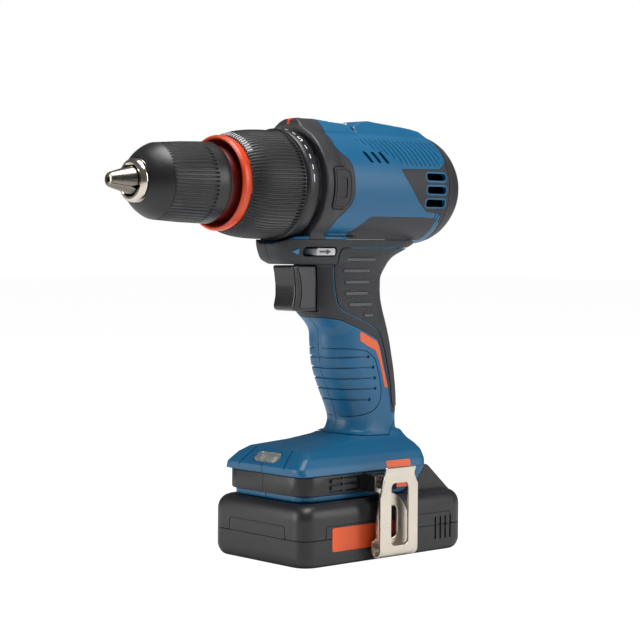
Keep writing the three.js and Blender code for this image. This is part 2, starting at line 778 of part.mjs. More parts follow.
function buildGearbox() {
  const inner = caseRadius - caseWall;
  const frontWall = frontStage - 2 * carrierThickness;
  const seat = noseTubeEnd + bearingWidth + 0.6;
  const shaftRoom = spindleRadius + 3;
  place(spindleLine, "gear_case", turned([
    [inner, casePlateAt - gap],
    [caseRadius, casePlateAt - gap],
    [caseRadius, frontWall - 3],
    [noseTubeRadius, frontWall - 3],
    [noseTubeRadius, noseTubeEnd],
    [bearingRadius + gap, noseTubeEnd],
    [bearingRadius + gap, seat],
    [shaftRoom, seat],
    [shaftRoom, frontWall],
    [inner, frontWall],
  ], fine), "aluminium");
  place(spindleLine, "gearbox_plate",
    tube(9, caseRadius, casePlateAt, casePlateAt + plateThickness, fine), "aluminium");
  place(spindleLine, "spindle_bearing",
    tube(spindleRadius + gap, bearingRadius, noseTubeEnd + 0.3, seat - 0.3), "steel");
  place(spindleLine, "clutch_spring",
    coil(noseTubeRadius + 2.6, 1.1, 4, noseTubeEnd + 2, noseTubeEnd + 20), "steel");
  for (const [word, from] of [["front", frontStage], ["rear", rearStage]]) {
    place(spindleLine, `ring_gear_${word}`, ringGear(from), "steel");
    planetAngles.forEach((angle, i) => {
      const gear = place(spindleLine, `planet_gear_${word}_${i + 1}`, planet(0), "steel");
      gear.position.set(
        planetOrbit * Math.cos(angle * degree),
        from,
        -planetOrbit * Math.sin(angle * degree),
      );
    });
  }
  const carrier = carrierPins(rearStage).add(
    sunGear(frontStage + 0.6, rearStage - gap - carrierThickness + 0.5, 0),
  );
  place(spindleLine, "rear_carrier", carrier, "steel");
  const spindleFront = spindleSeat + gap;
  const spindle = carrierPins(frontStage).add(
    rod(spindleRadius, spindleFront, frontStage - gap - carrierThickness + 0.5),
  ).subtract(rod(chuckScrewShank + gap, spindleFront - 1, chuckScrewEnd + 2, 12));
  place(spindleLine, "spindle", spindle, "steel");
}

// ---------------------------------------------------------------- motor
function buildMotor() {
  const can = turned([
    [6, motorFront], [motorRadius, motorFront], [motorRadius, motorRear],
    [motorRadius - canWall, motorRear], [motorRadius - canWall, motorFront + 1.6],
    [6, motorFront + 1.6],
  ], plain);
  place(spindleLine, "motor_can", can, "steel");
  place(spindleLine, "motor_end_cap",
    tube(6, motorRadius, motorRear + gap, motorRear + 2.6), "blackPlastic");
  const commutator = 7;
  const rotor = turned([
    [0, rearStage], [shaftRadius, rearStage], [shaftRadius, motorFront + 7],
    [armatureRadius, motorFront + 7], [armatureRadius, motorRear - 9],
    [commutator, motorRear - 9], [commutator, motorRear - 2],
    [shaftRadius, motorRear - 2], [shaftRadius, 68], [0, 68],
  ]);
  place(spindleLine, "motor_rotor", rotor, "darkSteel");
  place(spindleLine, "motor_pinion",
    sunGear(rearStage, casePlateAt - 0.6, shaftRadius + gap), "steel");
  const fanFront = motorRear + 5;
  const hub = tube(shaftRadius + gap, 6, fanFront, fanFront + 5);
  const blades = Array.from({ length: 6 }, (_, i) => {
    const blade = new THREE.BoxGeometry(12, 5, 1.4).translate(11, fanFront + 2.5, 0);
    return solid(blade.rotateY((i * Math.PI) / 3));
  });
  const disc = tube(5.5, 17, fanFront, fanFront + 1.2);
  place(spindleLine, "motor_fan", united(hub, disc, ...blades), "blackPlastic");
  place(spindleLine, "rear_bearing", tube(shaftRadius + gap, 7, 64.4, 68.6), "steel");
}

// ---------------------------------------------------------------- chuck
const spindleSeat = -112;
const chuckScrewShank = 2.3;
const chuckScrewEnd = -100;
const nutFront = -130.5;
const nutRear = -127;

// The straight bore that a jaw slides in, pointing outwards as it goes back, along +X.
function jawRod(radius, before, length) {
  const stick = new THREE.CylinderGeometry(radius, radius, length + before, 14);
  stick.translate(0, (length - before) / 2, 0).rotateZ(-jawAngle);
  return stick.translate(jawTipOffset, jawTip, 0);
}

function jaw() {
  const apex = 0.15;
  const far = 30;
  const sector = slabY([
    [apex, 0], [apex + far, -far * Math.sqrt(3)], [apex + far, far * Math.sqrt(3)],
  ], jawTip, -80);
  const pointed = turned([
    [0, jawTip - 1], [jawTipOffset + 1.6, jawTip - 1], [jawTipOffset + jawRadius + 1, jawTip + 3],
    [30, jawTip + 10], [30, -80], [0, -80],
  ], plain);
  return solid(jawRod(jawRadius, 3, jawLength)).intersect(sector).intersect(pointed);
}

function buildChuck() {
  const blank = turned([
    [jawTipOffset + 6.5, chuckFront],
    [noseRadius - 1.5, chuckFront],
    [noseRadius, chuckFront + 3.2],
    [noseRadius, nutRear + gap],
    [chuckBodyRadius, nutRear + 2 * gap],
    [chuckBodyRadius, -104],
    [chuckBodyRadius - 3.6, -100],
    [spindleRadius + gap, -100],
    [spindleRadius + gap, spindleSeat],
    [chuckScrewShank + 0.6, spindleSeat],
    [chuckScrewShank + 0.6, spindleSeat - 2],
    [jawTipOffset + 6, spindleSeat - 2],
  ], plain);
  const bores = planetAngles.map((angle) =>
    solid(jawRod(jawRadius + gap, 3, 70).rotateY(angle * degree)));
  place(spindleLine, "chuck_body", largest(cut(blank, ...bores)), "nickel");
  planetAngles.forEach((angle, i) => {
    const piece = place(spindleLine, `chuck_jaw_${i + 1}`, jaw(), "darkSteel");
    piece.rotation.y = angle * degree;
  });
  const screwTop = spindleSeat - 2 - gap;
  place(spindleLine, "chuck_screw", turned([
    [0, screwTop - 1.4], [2.2, screwTop - 1.4], [2.2, screwTop - 2.8], [4.6, screwTop - 2.8],
    [4.6, screwTop], [chuckScrewShank, screwTop], [chuckScrewShank, chuckScrewEnd],
    [0, chuckScrewEnd],
  ], 18), "darkSteel");
  const jawOutside = (y) =>
    jawTipOffset + (y - jawTip) * Math.tan(jawAngle) + jawRadius / Math.cos(jawAngle) + 0.4;
  place(spindleLine, "jaw_nut", turned([
    [jawOutside(nutFront), nutFront], [chuckBodyRadius - 0.4, nutFront],
    [chuckBodyRadius + 0.2, nutFront + 1.5], [chuckBodyRadius + 0.2, nutRear],
    [jawOutside(nutRear), nutRear],
  ], plain), "steel");
  const seam = -129.1;
  const domed = (share) => noseRadius + share * (sleeveRadius - noseRadius);
  place(spindleLine, "chuck_nose", turned([
    [noseRadius + 0.4, -139.5], [domed(0.316), -137.2], [domed(0.592), -133.8],
    [domed(0.765), -131], [sleeveRadius - 1.5, seam - 0.15], [sleeveRadius - 3.7, seam - 0.15],
    [sleeveRadius - 4.3, nutFront - 0.4], [domed(0.357), -133.6], [domed(0.122), -136.4],
    [noseRadius + 0.4, -137.4],
  ], fine), "blackPlastic");
  place(spindleLine, "chuck_sleeve", turned([
    [sleeveRadius - 1.4, seam + 0.15], [sleeveRadius - 0.3, -112], [sleeveRadius, -103],
    [sleeveRadius + 0.2, chuckRear - 1.2], [sleeveRadius - 0.2, chuckRear],
    [sleeveRadius - sleeveWall, chuckRear], [sleeveRadius - sleeveWall, -106],
    [sleeveRadius - 2.7, -116], [sleeveRadius - 3.6, seam + 0.15],
  ], fine), "blackPlastic");
}

// ---------------------------------------------------------------- collar and mode ring
function buildCollar() {
  const front = -84.2;
  const inside = collarRadius - collarWall;
  place(spindleLine, "torque_collar", turned([
    [modeRingLip, front], [modeRingLip + 0.5, front], [collarRadius - 3.4, -78.5],
    [collarRadius - 1.9, -70], [collarRadius - 1.4, -62], [collarRadius - 1.4, -52.2],
    [collarRadius - 0.3, -51.8], [collarRadius, -48], [collarRadius, collarRear],
    [inside, collarRear], [inside - 0.6, -62], [inside - 2, -74], [modeRingLip, -79.5],
  ], fine), "blackPlastic");
  place(spindleLine, "mode_ring", turned([
    [noseTubeRadius + 1.2, -79.6], [modeRingLip - 0.9, -79.6], [modeRingLip - 0.4, -84.2],
    [modeRingLip + 0.3, -87.4], [modeRingLip - 0.2, -89.8], [modeRingLip - 1.2, -89.9],
    [19.4, -83.4], [noseTubeRadius + 1.2, -83],
  ], fine), "orangePlastic");
}

// ---------------------------------------------------------------- controls
function buildControls() {
  const springRadius = 3.2;
  const springRoom = turned([
    [0, triggerRear - 9], [springRadius + 1, triggerRear - 9], [springRadius + 1, triggerRear + 1],
    [0, triggerRear + 1],
  ], 16, triggerLine);
  place(drill, "trigger",
    slabX(triggerOutline, -triggerHalf, triggerHalf).subtract(springRoom), "glossBlack");
  const switchFront = triggerRear + triggerTravel + 1;
  const spring = coil(springRadius - 0.5, 0.5, 5, triggerRear - 8.6, switchFront - 0.4);
  place(drill, "trigger_spring", spring, "steel").position.z = triggerLine;
  const switchHalf = handleHalfWidth - 8;
  const springWell = rod(springRadius + 0.6, switchFront - 1, switchFront + triggerTravel + 1.5,
    12, triggerLine);
  place(drill, "switch_module",
    cut(block(-switchHalf, switchHalf, switchFront, 12, up(131), up(160)), springWell), "blackPlastic");
  const reach = handleHalfWidth + 3.2;
  place(drill, "direction_selector", block(-reach, reach, selectorFront,
    selectorFront + selectorLength, selectorLow, selectorHigh), "greyPlastic");
  const top = axisHeight + barrelRadius;
  place(drill, "speed_switch", united(
    block(-6.2, 6.2, -9.8, -1, top - 0.2, top + 2.6),
    block(-5, 5, -3.4, -1.6, top + 2, top + 4),
    block(-2.8, 2.8, -7.4, -3.6, axisHeight + caseRadius + 0.6, top),
  ), "greyPlastic");
  const blockFront = footFront + 7.4;
  const blades = [-10, 0, 10].map((x) =>
    block(x - 0.6, x + 0.6, -36, -22, railLevel + 2.1, railLevel + 5.9));
  place(drill, "terminal_block",
    united(block(-16, 16, blockFront, -34, railLevel - 0.1, towerTop - 0.1), ...blades), "brass");
}

// ---------------------------------------------------------------- battery
const packFoot = 2.5; // bevel round the underside

function packForm(low, high, inset) {
  const level = (z, back) => [z, -halfLength + back, halfLength - back, packHalf - back, packCorner];
  const edge = [
    [0, packFoot], [4.5, 0], [packSplit, 0], [27, 0], [30.4, 1.1], [32.2, 3], [packHeight, 5.4],
  ];
  const kept = edge.filter(([z]) => z > low && z < high);
  const at = (z) => {
    const after = edge.findIndex(([height]) => height >= z);
    const [[z0, b0], [z1, b1]] = [edge[Math.max(after - 1, 0)], edge[Math.max(after, 1)]];
    return [z, b0 + ((b1 - b0) * (z - z0)) / (z1 - z0)];
  };
  const rows = [at(low), ...kept, at(high)];
  return loft(rows.map(([z, back]) => boxRing(level(z, back), inset)));
}

// Side view of the ramp behind the tower, as [y, z].
const rampTop = packHeight + 13.8;
const rampOutline = [
  [20, packHeight - 1], [56, packHeight - 1], [39.6, rampTop], [37.8, rampTop + 0.8],
  [26.3, packHeight + 0.2], [20, packHeight + 0.2],
];
const rampAngle = Math.atan2(rampTop - packHeight, 56 - 39.6);

function releaseBox(width, length, high, low) {
  const box = new THREE.BoxGeometry(width, length, high - low).translate(0, 0, (high + low) / 2);
  return solid(box.rotateX(-rampAngle).translate(0, 48.4, packHeight + 6.3));
}

function buildBattery() {
  const inside = (z, back) =>
    boxRing([z, -halfLength + back, halfLength - back, packHalf - back, packCorner], packWall, 2);
  const room = loft([inside(packWall, 1), inside(packHeight - packWall, 3)]);
  place(drill, "battery_lower_case", cut(packForm(0, packSplit - gap / 2, 0), room), "charcoalPlastic");
  const groove = (side) => {
    const [a, b] = [side * (towerHalf - railDepth), side * packHalf];
    const half = railHeight / 2 + railGap;
    return block(Math.min(a, b), Math.max(a, b), -60, 26, railLevel - half, railLevel + half);
  };
  const tower = united(
    block(-towerHalf, towerHalf, towerFront, 30, packHeight - 1, towerTop),
    slabX(rampOutline, -towerHalf - 4, towerHalf + 4),
    block(-towerHalf, towerHalf, 28, 37, packHeight - 1, towerTop),
  );
  const contactSlots = [-10, 0, 10].map((x) =>
    block(x - 1.4, x + 1.4, towerFront - 1, -20, railLevel + 0.9, railLevel + 7.1));
  const slide = cut(tower, groove(1), groove(-1), ...contactSlots,
    block(-20, 20, -18, 24, packHeight - 4, towerTop - packWall));
  const latchRoom = releaseBox(22.6, 12.6, 3, -6);
  const upper = cut(packForm(packSplit + gap / 2, packHeight, 0), room).add(slide);
  place(drill, "battery_upper_case",
    cut(upper, block(-20, 20, -18, 24, packHeight - 5, towerTop - packWall), latchRoom),
    "charcoalPlastic");
  place(drill, "release_button", releaseBox(22, 12, 0.9, -2.6), "blackPlastic");
  for (let i = 0; i < cellCount; i += 1) {
    const profile = new THREE.LatheGeometry([
      [0, 0], [cellRadius, 0], [cellRadius, cellLength - 1.5], [cellRadius - 1.2, cellLength - 1],
      [2.8, cellLength - 1], [2.8, cellLength], [0, cellLength],
    ].map(([r, y]) => new THREE.Vector2(r, y)), 14);
    const side = i % 2 ? -1 : 1;
    profile.rotateZ((-side * Math.PI) / 2).translate((-side * cellLength) / 2, 0, 0);
    const cell = place(drill, `battery_cell_${i + 1}`, solid(profile), "cellWrap");
    cell.position.set(0, (i - (cellCount - 1) / 2) * cellPitch, packWall + 0.5 + cellRadius);
  }
  const boardAt = packWall + 2 * cellRadius + 2;
  const [boardHalf, boardReach] = [packHalf - 8, halfLength - 10];
  place(drill, "battery_board",
    block(-boardHalf, boardHalf, -boardReach, boardReach, boardAt, boardAt + 1.6), "board");
}

buildHousing();
buildBand();
buildClip();
buildGearbox();
buildMotor();
buildChuck();
buildCollar();
buildControls();
buildBattery();

export default drill;
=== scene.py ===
import json
import math

import bmesh
import bpy
import numpy as np
from mathutils import Matrix, Vector

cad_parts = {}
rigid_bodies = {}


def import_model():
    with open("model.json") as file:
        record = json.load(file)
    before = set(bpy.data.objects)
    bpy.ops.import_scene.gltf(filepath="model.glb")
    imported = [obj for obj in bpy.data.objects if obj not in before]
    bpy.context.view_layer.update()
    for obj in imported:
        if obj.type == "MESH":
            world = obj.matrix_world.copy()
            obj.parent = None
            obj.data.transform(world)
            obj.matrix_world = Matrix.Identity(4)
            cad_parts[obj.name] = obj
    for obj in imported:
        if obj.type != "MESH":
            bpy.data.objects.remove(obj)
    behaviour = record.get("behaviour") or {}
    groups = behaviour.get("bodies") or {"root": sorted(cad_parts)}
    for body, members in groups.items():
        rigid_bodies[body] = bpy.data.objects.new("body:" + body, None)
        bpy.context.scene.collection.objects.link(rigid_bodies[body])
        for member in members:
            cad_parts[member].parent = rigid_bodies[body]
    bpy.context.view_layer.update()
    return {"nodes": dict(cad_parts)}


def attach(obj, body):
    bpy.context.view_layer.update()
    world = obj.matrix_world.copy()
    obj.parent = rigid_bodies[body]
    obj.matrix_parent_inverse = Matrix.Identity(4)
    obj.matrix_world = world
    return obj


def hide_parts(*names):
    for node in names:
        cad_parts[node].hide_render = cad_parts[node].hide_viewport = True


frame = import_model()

MM = 0.001

# ---------------------------------------------------------------- sizes, in millimetres
AXIS = 200.0  # height of the spindle line
BARREL = 31.0
BORE = 28.4
FLANGE_FRONT = -40.0
TAIL_SEAM = 53.0
SPLIT = 0.15  # each half stops this far from the middle plane
SOFT = 2.0  # thickness of the rubber on the handle
GRIP_WALL = 4.2
PARTING = 14.5  # height of the battery's parting line
FAR = 120.0  # further than any part of the tool reaches
SEAM = 0.3  # gap between neighbouring pieces

HANDLE = [  # height, front, rear, half width
    (60, -9, 37, 18), (66, -5.5, 35, 16.5), (72.4, -3, 34.2, 16), (79.2, -5.2, 34.8, 16.2),
    (85.5, -8.2, 34.5, 16.6), (92.2, -11.3, 33.7, 17), (99.6, -14.4, 32.8, 17),
    (107.9, -16.3, 31, 17), (115, -16.8, 29.4, 17), (122.8, -17.8, 27, 17), (128, -22.5, 25.5, 17),
    (132, -27, 24.3, 17), (140, -27.5, 22.2, 17), (149, -27.5, 22, 17), (156, -28, 25.5, 17.5),
    (162, -28, 31.5, 18.5), (167, -28, 43.5, 19), (171, -28, 50, 19.5), (178, -28, 50, 19.5),
]
SADDLE = [
    (157.9, -47, 8, 17.5), (160, -51.5, 8, 18.5), (163, -53.5, 8, 19), (170, -55, 8, 20),
    (173, -55, 8, 20.5),
]
FOOT = [  # the last value is the corner radius
    (33.3, -53.5, 25, 30, 8), (36.4, -54, 27.3, 30.5, 9), (36.5, -53.2, 27.3, 29.2, 8),
    (47, -53.2, 35.4, 29.2, 8), (47.1, -57, 36.3, 32.4, 4.5), (51, -57, 37.2, 31.2, 4.5),
    (56, -51.6, 37, 28.4, 4.5), (59.3, -47.5, 36.6, 23.5, 4.5), (61.5, -25, 36.2, 19.5, 6),
    (64, -10, 36, 17.5, 8), (66, -5.5, 35.5, 16.6, 9),
]
COVER_EDGE = [
    (-31, 171.3), (-27.2, 181.7), (-22.9, 186.4), (-20.1, 190.1), (-19.1, 194.3), (-19.2, 206.4),
    (-19.5, 210.6), (-21.1, 213.8), (-25.5, 217.4), (-27.4, 220.7), (-26, 225.3), (-24, 240),
]
GRIP_EDGE = [
    (-60, 128.7), (-21.5, 129.3), (-12.8, 127.7), (-1.7, 123.1), (11.9, 117.3), (14.2, 113.4),
    (18.5, 99.4), (22.5, 85), (24.5, 76),
]
REAR_PAD = [
    (-17, 166.4), (-18.8, 162.7), (-18.7, 154.7), (-17.8, 144), (-16.3, 136.3), (-13.4, 133.3),
    (-1.7, 128.6), (7.3, 125.1), (13.3, 121.3), (15.9, 117), (19.8, 106), (22.7, 93.7),
    (25.2, 79), (45, 79), (60, 166.4),
]
ACCENT = [
    (-1.2, 121.6), (11.2, 115.9), (13.4, 112.6), (17.3, 99.4), (20.6, 90), (17.9, 89.9),
    (13.4, 105.1), (10.3, 110.9), (6, 112.7), (-0.8, 116.2),
]
FRONT_PAD = [
    (-40, 112.6), (-7.9, 112.1), (3.3, 110.9), (10.1, 106.3), (13.3, 96.8), (15.1, 88.4),
    (14.9, 82.9), (10.6, 77.6), (0.2, 74.6), (-40, 73.6),
]
LOWER_PANEL = [(-2.8, 183.6), (37.5, 183.6), (47.5, 183), (47.5, 168), (-16.5, 168), (-14, 173)]
REAR_PANEL = [
    (16.4, 209.7), (46.6, 210.4), (51.4, 213.4), (56, 219), (56, 168), (52.6, 171), (51.4, 180),
    (49, 186), (37.1, 187), (29.4, 192.6), (20.5, 203.2),
]
TRIGGER = [
    (-40.2, 132.8), (-18, 132.8), (-18, 157.3), (-42.9, 157.3), (-41.7, 152), (-41.0, 146.5),
    (-40.9, 141), (-42.2, 135.6), (-41.9, 134),
]

# ---------------------------------------------------------------- making solids
workshop = bpy.data.collections.new("workshop")
bpy.context.scene.collection.children.link(workshop)


def solid(points, faces):
    mesh = bpy.data.meshes.new("solid")
    mesh.from_pydata(np.asarray(points, float).tolist(), [], faces)
    skin = bmesh.new()
    skin.from_mesh(mesh)
    bmesh.ops.recalc_face_normals(skin, faces=skin.faces)
    skin.to_mesh(mesh)
    skin.free()
    shape = bpy.data.objects.new("solid", mesh)
    workshop.objects.link(shape)
    return shape


def settled(shape):
    """The shape with its modifiers made part of it."""
    graph = bpy.context.evaluated_depsgraph_get()
    mesh = bpy.data.meshes.new_from_object(shape.evaluated_get(graph))
    shape.modifiers.clear()
    shape.data = mesh
    return shape


def copied(shape):
    twin = bpy.data.objects.new("solid", shape.data.copy())
    workshop.objects.link(twin)
    return twin


def combined(shape, operation, tools):
    result = copied(shape)
    for tool in tools:
        step = result.modifiers.new("step", "BOOLEAN")
        step.solver = "MANIFOLD"
        step.operation = operation
        step.object = tool
    return settled(result)


def cut(shape, *tools):
    return combined(shape, "DIFFERENCE", tools)


def joined(shape, *tools):
    return combined(shape, "UNION", tools)


def shared(shape, *tools):
    return combined(shape, "INTERSECT", tools)


def softened(shape, grain, rounds):
    """The shape with its edges worn round, as a mould leaves them."""
    remesh = shape.modifiers.new("grain", "REMESH")
    remesh.mode = "VOXEL"
    remesh.voxel_size = grain
    smooth = shape.modifiers.new("soft", "SMOOTH")
    smooth.factor = 0.5
    smooth.iterations = rounds
    return settled(shape)


def stack(rings):
    """Closed skin over rings of equal point counts."""
    count = len(rings[0])
    points = [point for ring in rings for point in ring]
    faces = []
    for level in range(len(rings) - 1):
        for i in range(count):
            a, b = level * count + i, level * count + (i + 1) % count
            faces.append((a, b, b + count, a + count))
    faces.append(tuple(range(count)))
    faces.append(tuple(range(len(points) - count, len(points))))
    return solid(points, faces)


def box(x0, x1, y0, y1, z0, z1):
    flat = [(x0, y0), (x1, y0), (x1, y1), (x0, y1)]
    return stack([[(x, y, z) for x, y in flat] for z in (z0, z1)])


def slab_x(outline, x0, x1):
    """An outline of (y, z) given thickness from x0 to x1."""
    return stack([[(x, y, z) for y, z in outline] for x in (x0, x1)])


def slab_y(outline, y0, y1):
    """An outline of (x, z) given thickness from y0 to y1."""
    return stack([[(x, y, z) for x, z in outline] for y in (y0, y1)])


def pin_x(radius, x0, x1, y, z, sides=32):
    turn = np.linspace(0, 2 * np.pi, sides, endpoint=False)
    return slab_x([(y + radius * math.cos(t), z + radius * math.sin(t)) for t in turn], x0, x1)


def lathe(profile, sides=192, relief=None, height=AXIS):
    """A closed profile of (radius, y) turned about the spindle line.

    The relief gives how far the skin stands out at each profile point and angle."""
    turn = np.linspace(0, 2 * np.pi, sides, endpoint=False)
    rings = []
    for radius, y in profile:
        out = np.full(sides, float(radius))
        if relief:
            out = out + relief(radius, y, turn)
        rings.append(np.column_stack([out * np.cos(turn), np.full(sides, y), height + out * np.sin(turn)]))
    points = np.vstack(rings)
    faces = []
    for row in range(len(profile)):
        after = (row + 1) % len(profile)
        for i in range(sides):
            k = (i + 1) % sides
            faces.append((row * sides + i, row * sides + k, after * sides + k, after * sides + i))
    return solid(points, faces)


def spun(profile, sides=192, height=AXIS):
    """A profile of (radius, y) turned into a solid with closed ends."""
    turn = np.linspace(0, 2 * np.pi, sides, endpoint=False)
    rings = [[(r * math.cos(t), y, height + r * math.sin(t)) for t in turn] for r, y in profile]
    return stack(rings)


def smooth_rows(rows, step):
    """Rows whose first value grows, filled in along smooth curves."""
    rows = np.array(rows, float)
    along = rows[:, 0]
    rise = np.diff(rows, axis=0) / np.diff(along)[:, None]
    slope = np.vstack([rise[:1], (rise[:-1] + rise[1:]) / 2, rise[-1:]])
    slope[1:-1][rise[:-1] * rise[1:] <= 0] = 0
    at = np.linspace(along[0], along[-1], int((along[-1] - along[0]) / step) + 1)
    low = np.clip(np.searchsorted(along, at, side="right") - 1, 0, len(along) - 2)
    span = np.diff(along)[low][:, None]
    t = (at - along[low])[:, None] / span
    made = (
        (2 * t**3 - 3 * t**2 + 1) * rows[low]
        + (t**3 - 2 * t**2 + t) * span * slope[low]
        + (3 * t**2 - 2 * t**3) * rows[low + 1]
        + (t**3 - t**2) * span * slope[low + 1]
    )
    made[:, 0] = at
    return made


def rounded(outline, radius, steps=6):
    """An outline with its corners rounded off."""
    outline = [np.array(p, float) for p in outline]
    made = []
    for i, corner in enumerate(outline):
        before, after = outline[i - 1] - corner, outline[(i + 1) % len(outline)] - corner
        reach = min(radius, np.linalg.norm(before) * 0.48, np.linalg.norm(after) * 0.48)
        start = corner + before / np.linalg.norm(before) * reach
        end = corner + after / np.linalg.norm(after) * reach
        for t in np.linspace(0, 1, steps):
            made.append(tuple((1 - t) ** 2 * start + 2 * t * (1 - t) * corner + t**2 * end))
    return made


def grown(outline, by):
    """An outline moved outwards by a distance, whichever way round it is listed."""
    points = np.array(outline, float)
    before, after = np.roll(points, 1, axis=0), np.roll(points, -1, axis=0)
    area = np.sum(before[:, 0] * points[:, 1] - before[:, 1] * points[:, 0])
    side = math.copysign(1, area)

    def outward(a, b):
        step = b - a
        length = np.maximum(np.linalg.norm(step, axis=1), 1e-9)[:, None]
        return side * np.column_stack([step[:, 1], -step[:, 0]]) / length

    n, m = outward(before, points), outward(points, after)
    return points + (n + m) * (by / np.maximum(1 + np.sum(n * m, axis=1), 0.3))[:, None]


def stadium(y0, y1, z0, z1, steps=12):
    """A slot's outline with round ends along its longer side."""
    return rounded([(y0, z0), (y1, z0), (y1, z1), (y0, z1)], min(y1 - y0, z1 - z0) / 2, steps)


def ribbon(path, width):
    """The outline of a line of even width along a path."""
    points = np.array(path, float)
    step = np.gradient(points, axis=0)
    side = np.column_stack([-step[:, 1], step[:, 0]]) / np.linalg.norm(step, axis=1)[:, None]
    half = side * width / 2
    return np.vstack([points + half, (points - half)[::-1]])


# ---------------------------------------------------------------- the outer form
def oval_stack(levels, inset, step=1.0, count=96, power=2.6):
    turn = np.linspace(0, 2 * np.pi, count, endpoint=False)
    wide = np.sign(np.cos(turn)) * np.abs(np.cos(turn)) ** (2 / power)
    deep = np.sign(np.sin(turn)) * np.abs(np.sin(turn)) ** (2 / power)
    rings = []
    for z, front, rear, half in smooth_rows(levels, step):
        x = (half - inset) * wide
        y = (front + rear) / 2 + ((rear - front) / 2 - inset) * deep
        rings.append(np.column_stack([x, y, np.full(count, z)]))
    return stack(rings)


def box_ring(z, front, rear, half, corner, inset=0.0, steps=8):
    flat = [(half, front), (half, rear), (-half, rear), (-half, front)]
    flat = grown(flat, -inset) if inset else flat
    return [(x, y, z) for x, y in rounded(flat, max(corner - inset, 0.6) * 1.2, steps)]


def handle_form(inset):
    return oval_stack(HANDLE, inset)


def saddle_form(inset):
    return oval_stack(SADDLE, inset)


def barrel_form(inset, front=FLANGE_FRONT):
    r = BARREL - inset
    profile = [
        (r + 1.2, front), (r + 1.5, front + 1), (r + 1.5, -33), (r + 1.2, -30.5), (r + 0.3, -27.5),
        (r, -25), (r, 50), (r - 0.35, 54), (r - 1.4, 58), (r - 2.9, 61.4), (r - 5, 64.6),
        (r - 8, 68.3), (r - 11.4, 71.4), (r - 15, 74), (r - 19, 75.8), (r - 24, 76.8 - inset),
    ]
    return spun(profile)


def top_ridge():
    low = AXIS + 24
    hump = slab_x([(-40, low), (-1, low), (-3, 233.3), (-12, 234.6), (-26, 236), (-36.5, 235.9),
                   (-38.6, 235.2), (-40, 232)], -20, 20)
    hump_section = slab_y([(-15, low), (15, low), (13, AXIS + 29.4), (8.5, AXIS + 33.6), (4, AXIS + 36.4),
                           (-4, AXIS + 36.4), (-8.5, AXIS + 33.6), (-13, AXIS + 29.4)], -41, 0)
    spine = slab_x([(-1, low), (53, low), (53, 229), (49, 232.3), (41.1, 233.7), (12.6, 236.5),
                    (6.6, 235.9), (-0.8, 232.7)], -20, 20)
    spine_section = slab_y([(-14, low), (14, low), (12.4, AXIS + 28.5), (6.6, AXIS + 36.6),
                            (-6.6, AXIS + 36.6), (-12.4, AXIS + 28.5)], -2, 60)
    return joined(shared(hump, hump_section), shared(spine, spine_section))


def outer_form():
    foot = stack([box_ring(*level) for level in FOOT])
    whole = joined(barrel_form(0), handle_form(0), saddle_form(0), foot, top_ridge())
    collar_room = spun([(31.2, -75), (31.2, FLANGE_FRONT - 0.6)])
    return softened(cut(whole, collar_room), 0.75, 4)


def inner_room():
    """The hollow of the barrel, handle and foot."""
    barrel = spun([(BORE, -46), (BORE, 51), (BORE - 3, 62), (10, 72)], 64)
    foot_room = stack([box_ring(*level, inset=2.6) for level in FOOT[2:-1]])
    tower_room = box(-25.6, 25.6, -50.2, 60, 30, 47.1)
    return joined(barrel, handle_form(GRIP_WALL), foot_room, tower_room)


def half(shape, side):
    near, far = sorted((side * SPLIT, side * FAR))
    return shared(shape, box(near, far, -2 * FAR, 2 * FAR, -1, 3 * FAR))


def sided(outline, depth_from, form=None):
    """An outline of (y, z) as blocks on both flanks, from a half width outwards."""
    pair = joined(slab_x(outline, depth_from, 80), slab_x(outline, -80, -depth_from))
    return cut(pair, form) if form else pair


# ---------------------------------------------------------------- keeping pieces
def kept(shape, name, body, material, nodes=(), sharp=34):
    """Turns a finished solid into a piece of the tool."""
    shape.name = name
    shape.data.name = name
    shape.data.transform(Matrix.Scale(MM, 4))
    shape.data.materials.clear()
    shape.data.materials.append(material)
    shape.data.shade_smooth()
    shape.data.set_sharp_from_angle(angle=math.radians(sharp))
    workshop.objects.unlink(shape)
    bpy.context.scene.collection.objects.link(shape)
    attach(shape, body)
    if nodes:
        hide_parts(*nodes)
    return shape


# ---------------------------------------------------------------- finishes
class Wire:
    """A value running through a material, so that sums can be written with it."""

    def __init__(self, tree, socket):
        self.tree = tree
        self.socket = socket

    def math(self, operation, *values):
        node = self.tree.nodes.new("ShaderNodeMath")
        node.operation = operation
        for place, value in zip(node.inputs, values):
            fed(self.tree, place, value)
        return Wire(self.tree, node.outputs[0])

    def __add__(self, other):
        return self.math("ADD", self, other)

    def __sub__(self, other):
        return self.math("SUBTRACT", self, other)

    def __rsub__(self, other):
        return self.math("SUBTRACT", other, self)

    def __mul__(self, other):
        return self.math("MULTIPLY", self, other)

    __radd__ = __add__
    __rmul__ = __mul__

    def sine(self):
        return self.math("SINE", self)

    def above(self, level):
        return self.math("GREATER_THAN", self, level)


def fed(tree, place, value):
    if isinstance(value, Wire):
        tree.links.new(value.socket, place)
    else:
        place.default_value = value


def added(tree, kind, output=0, settings=(), **values):
    """A new node with its settings and the values or links of its sockets."""
    made = tree.nodes.new("ShaderNode" + kind)
    for name, value in dict(settings).items():
        setattr(made, name, value)
    for name, value in values.items():
        fed(tree, made.inputs[name.replace("_", " ")], value)
    return Wire(tree, made.outputs[output])


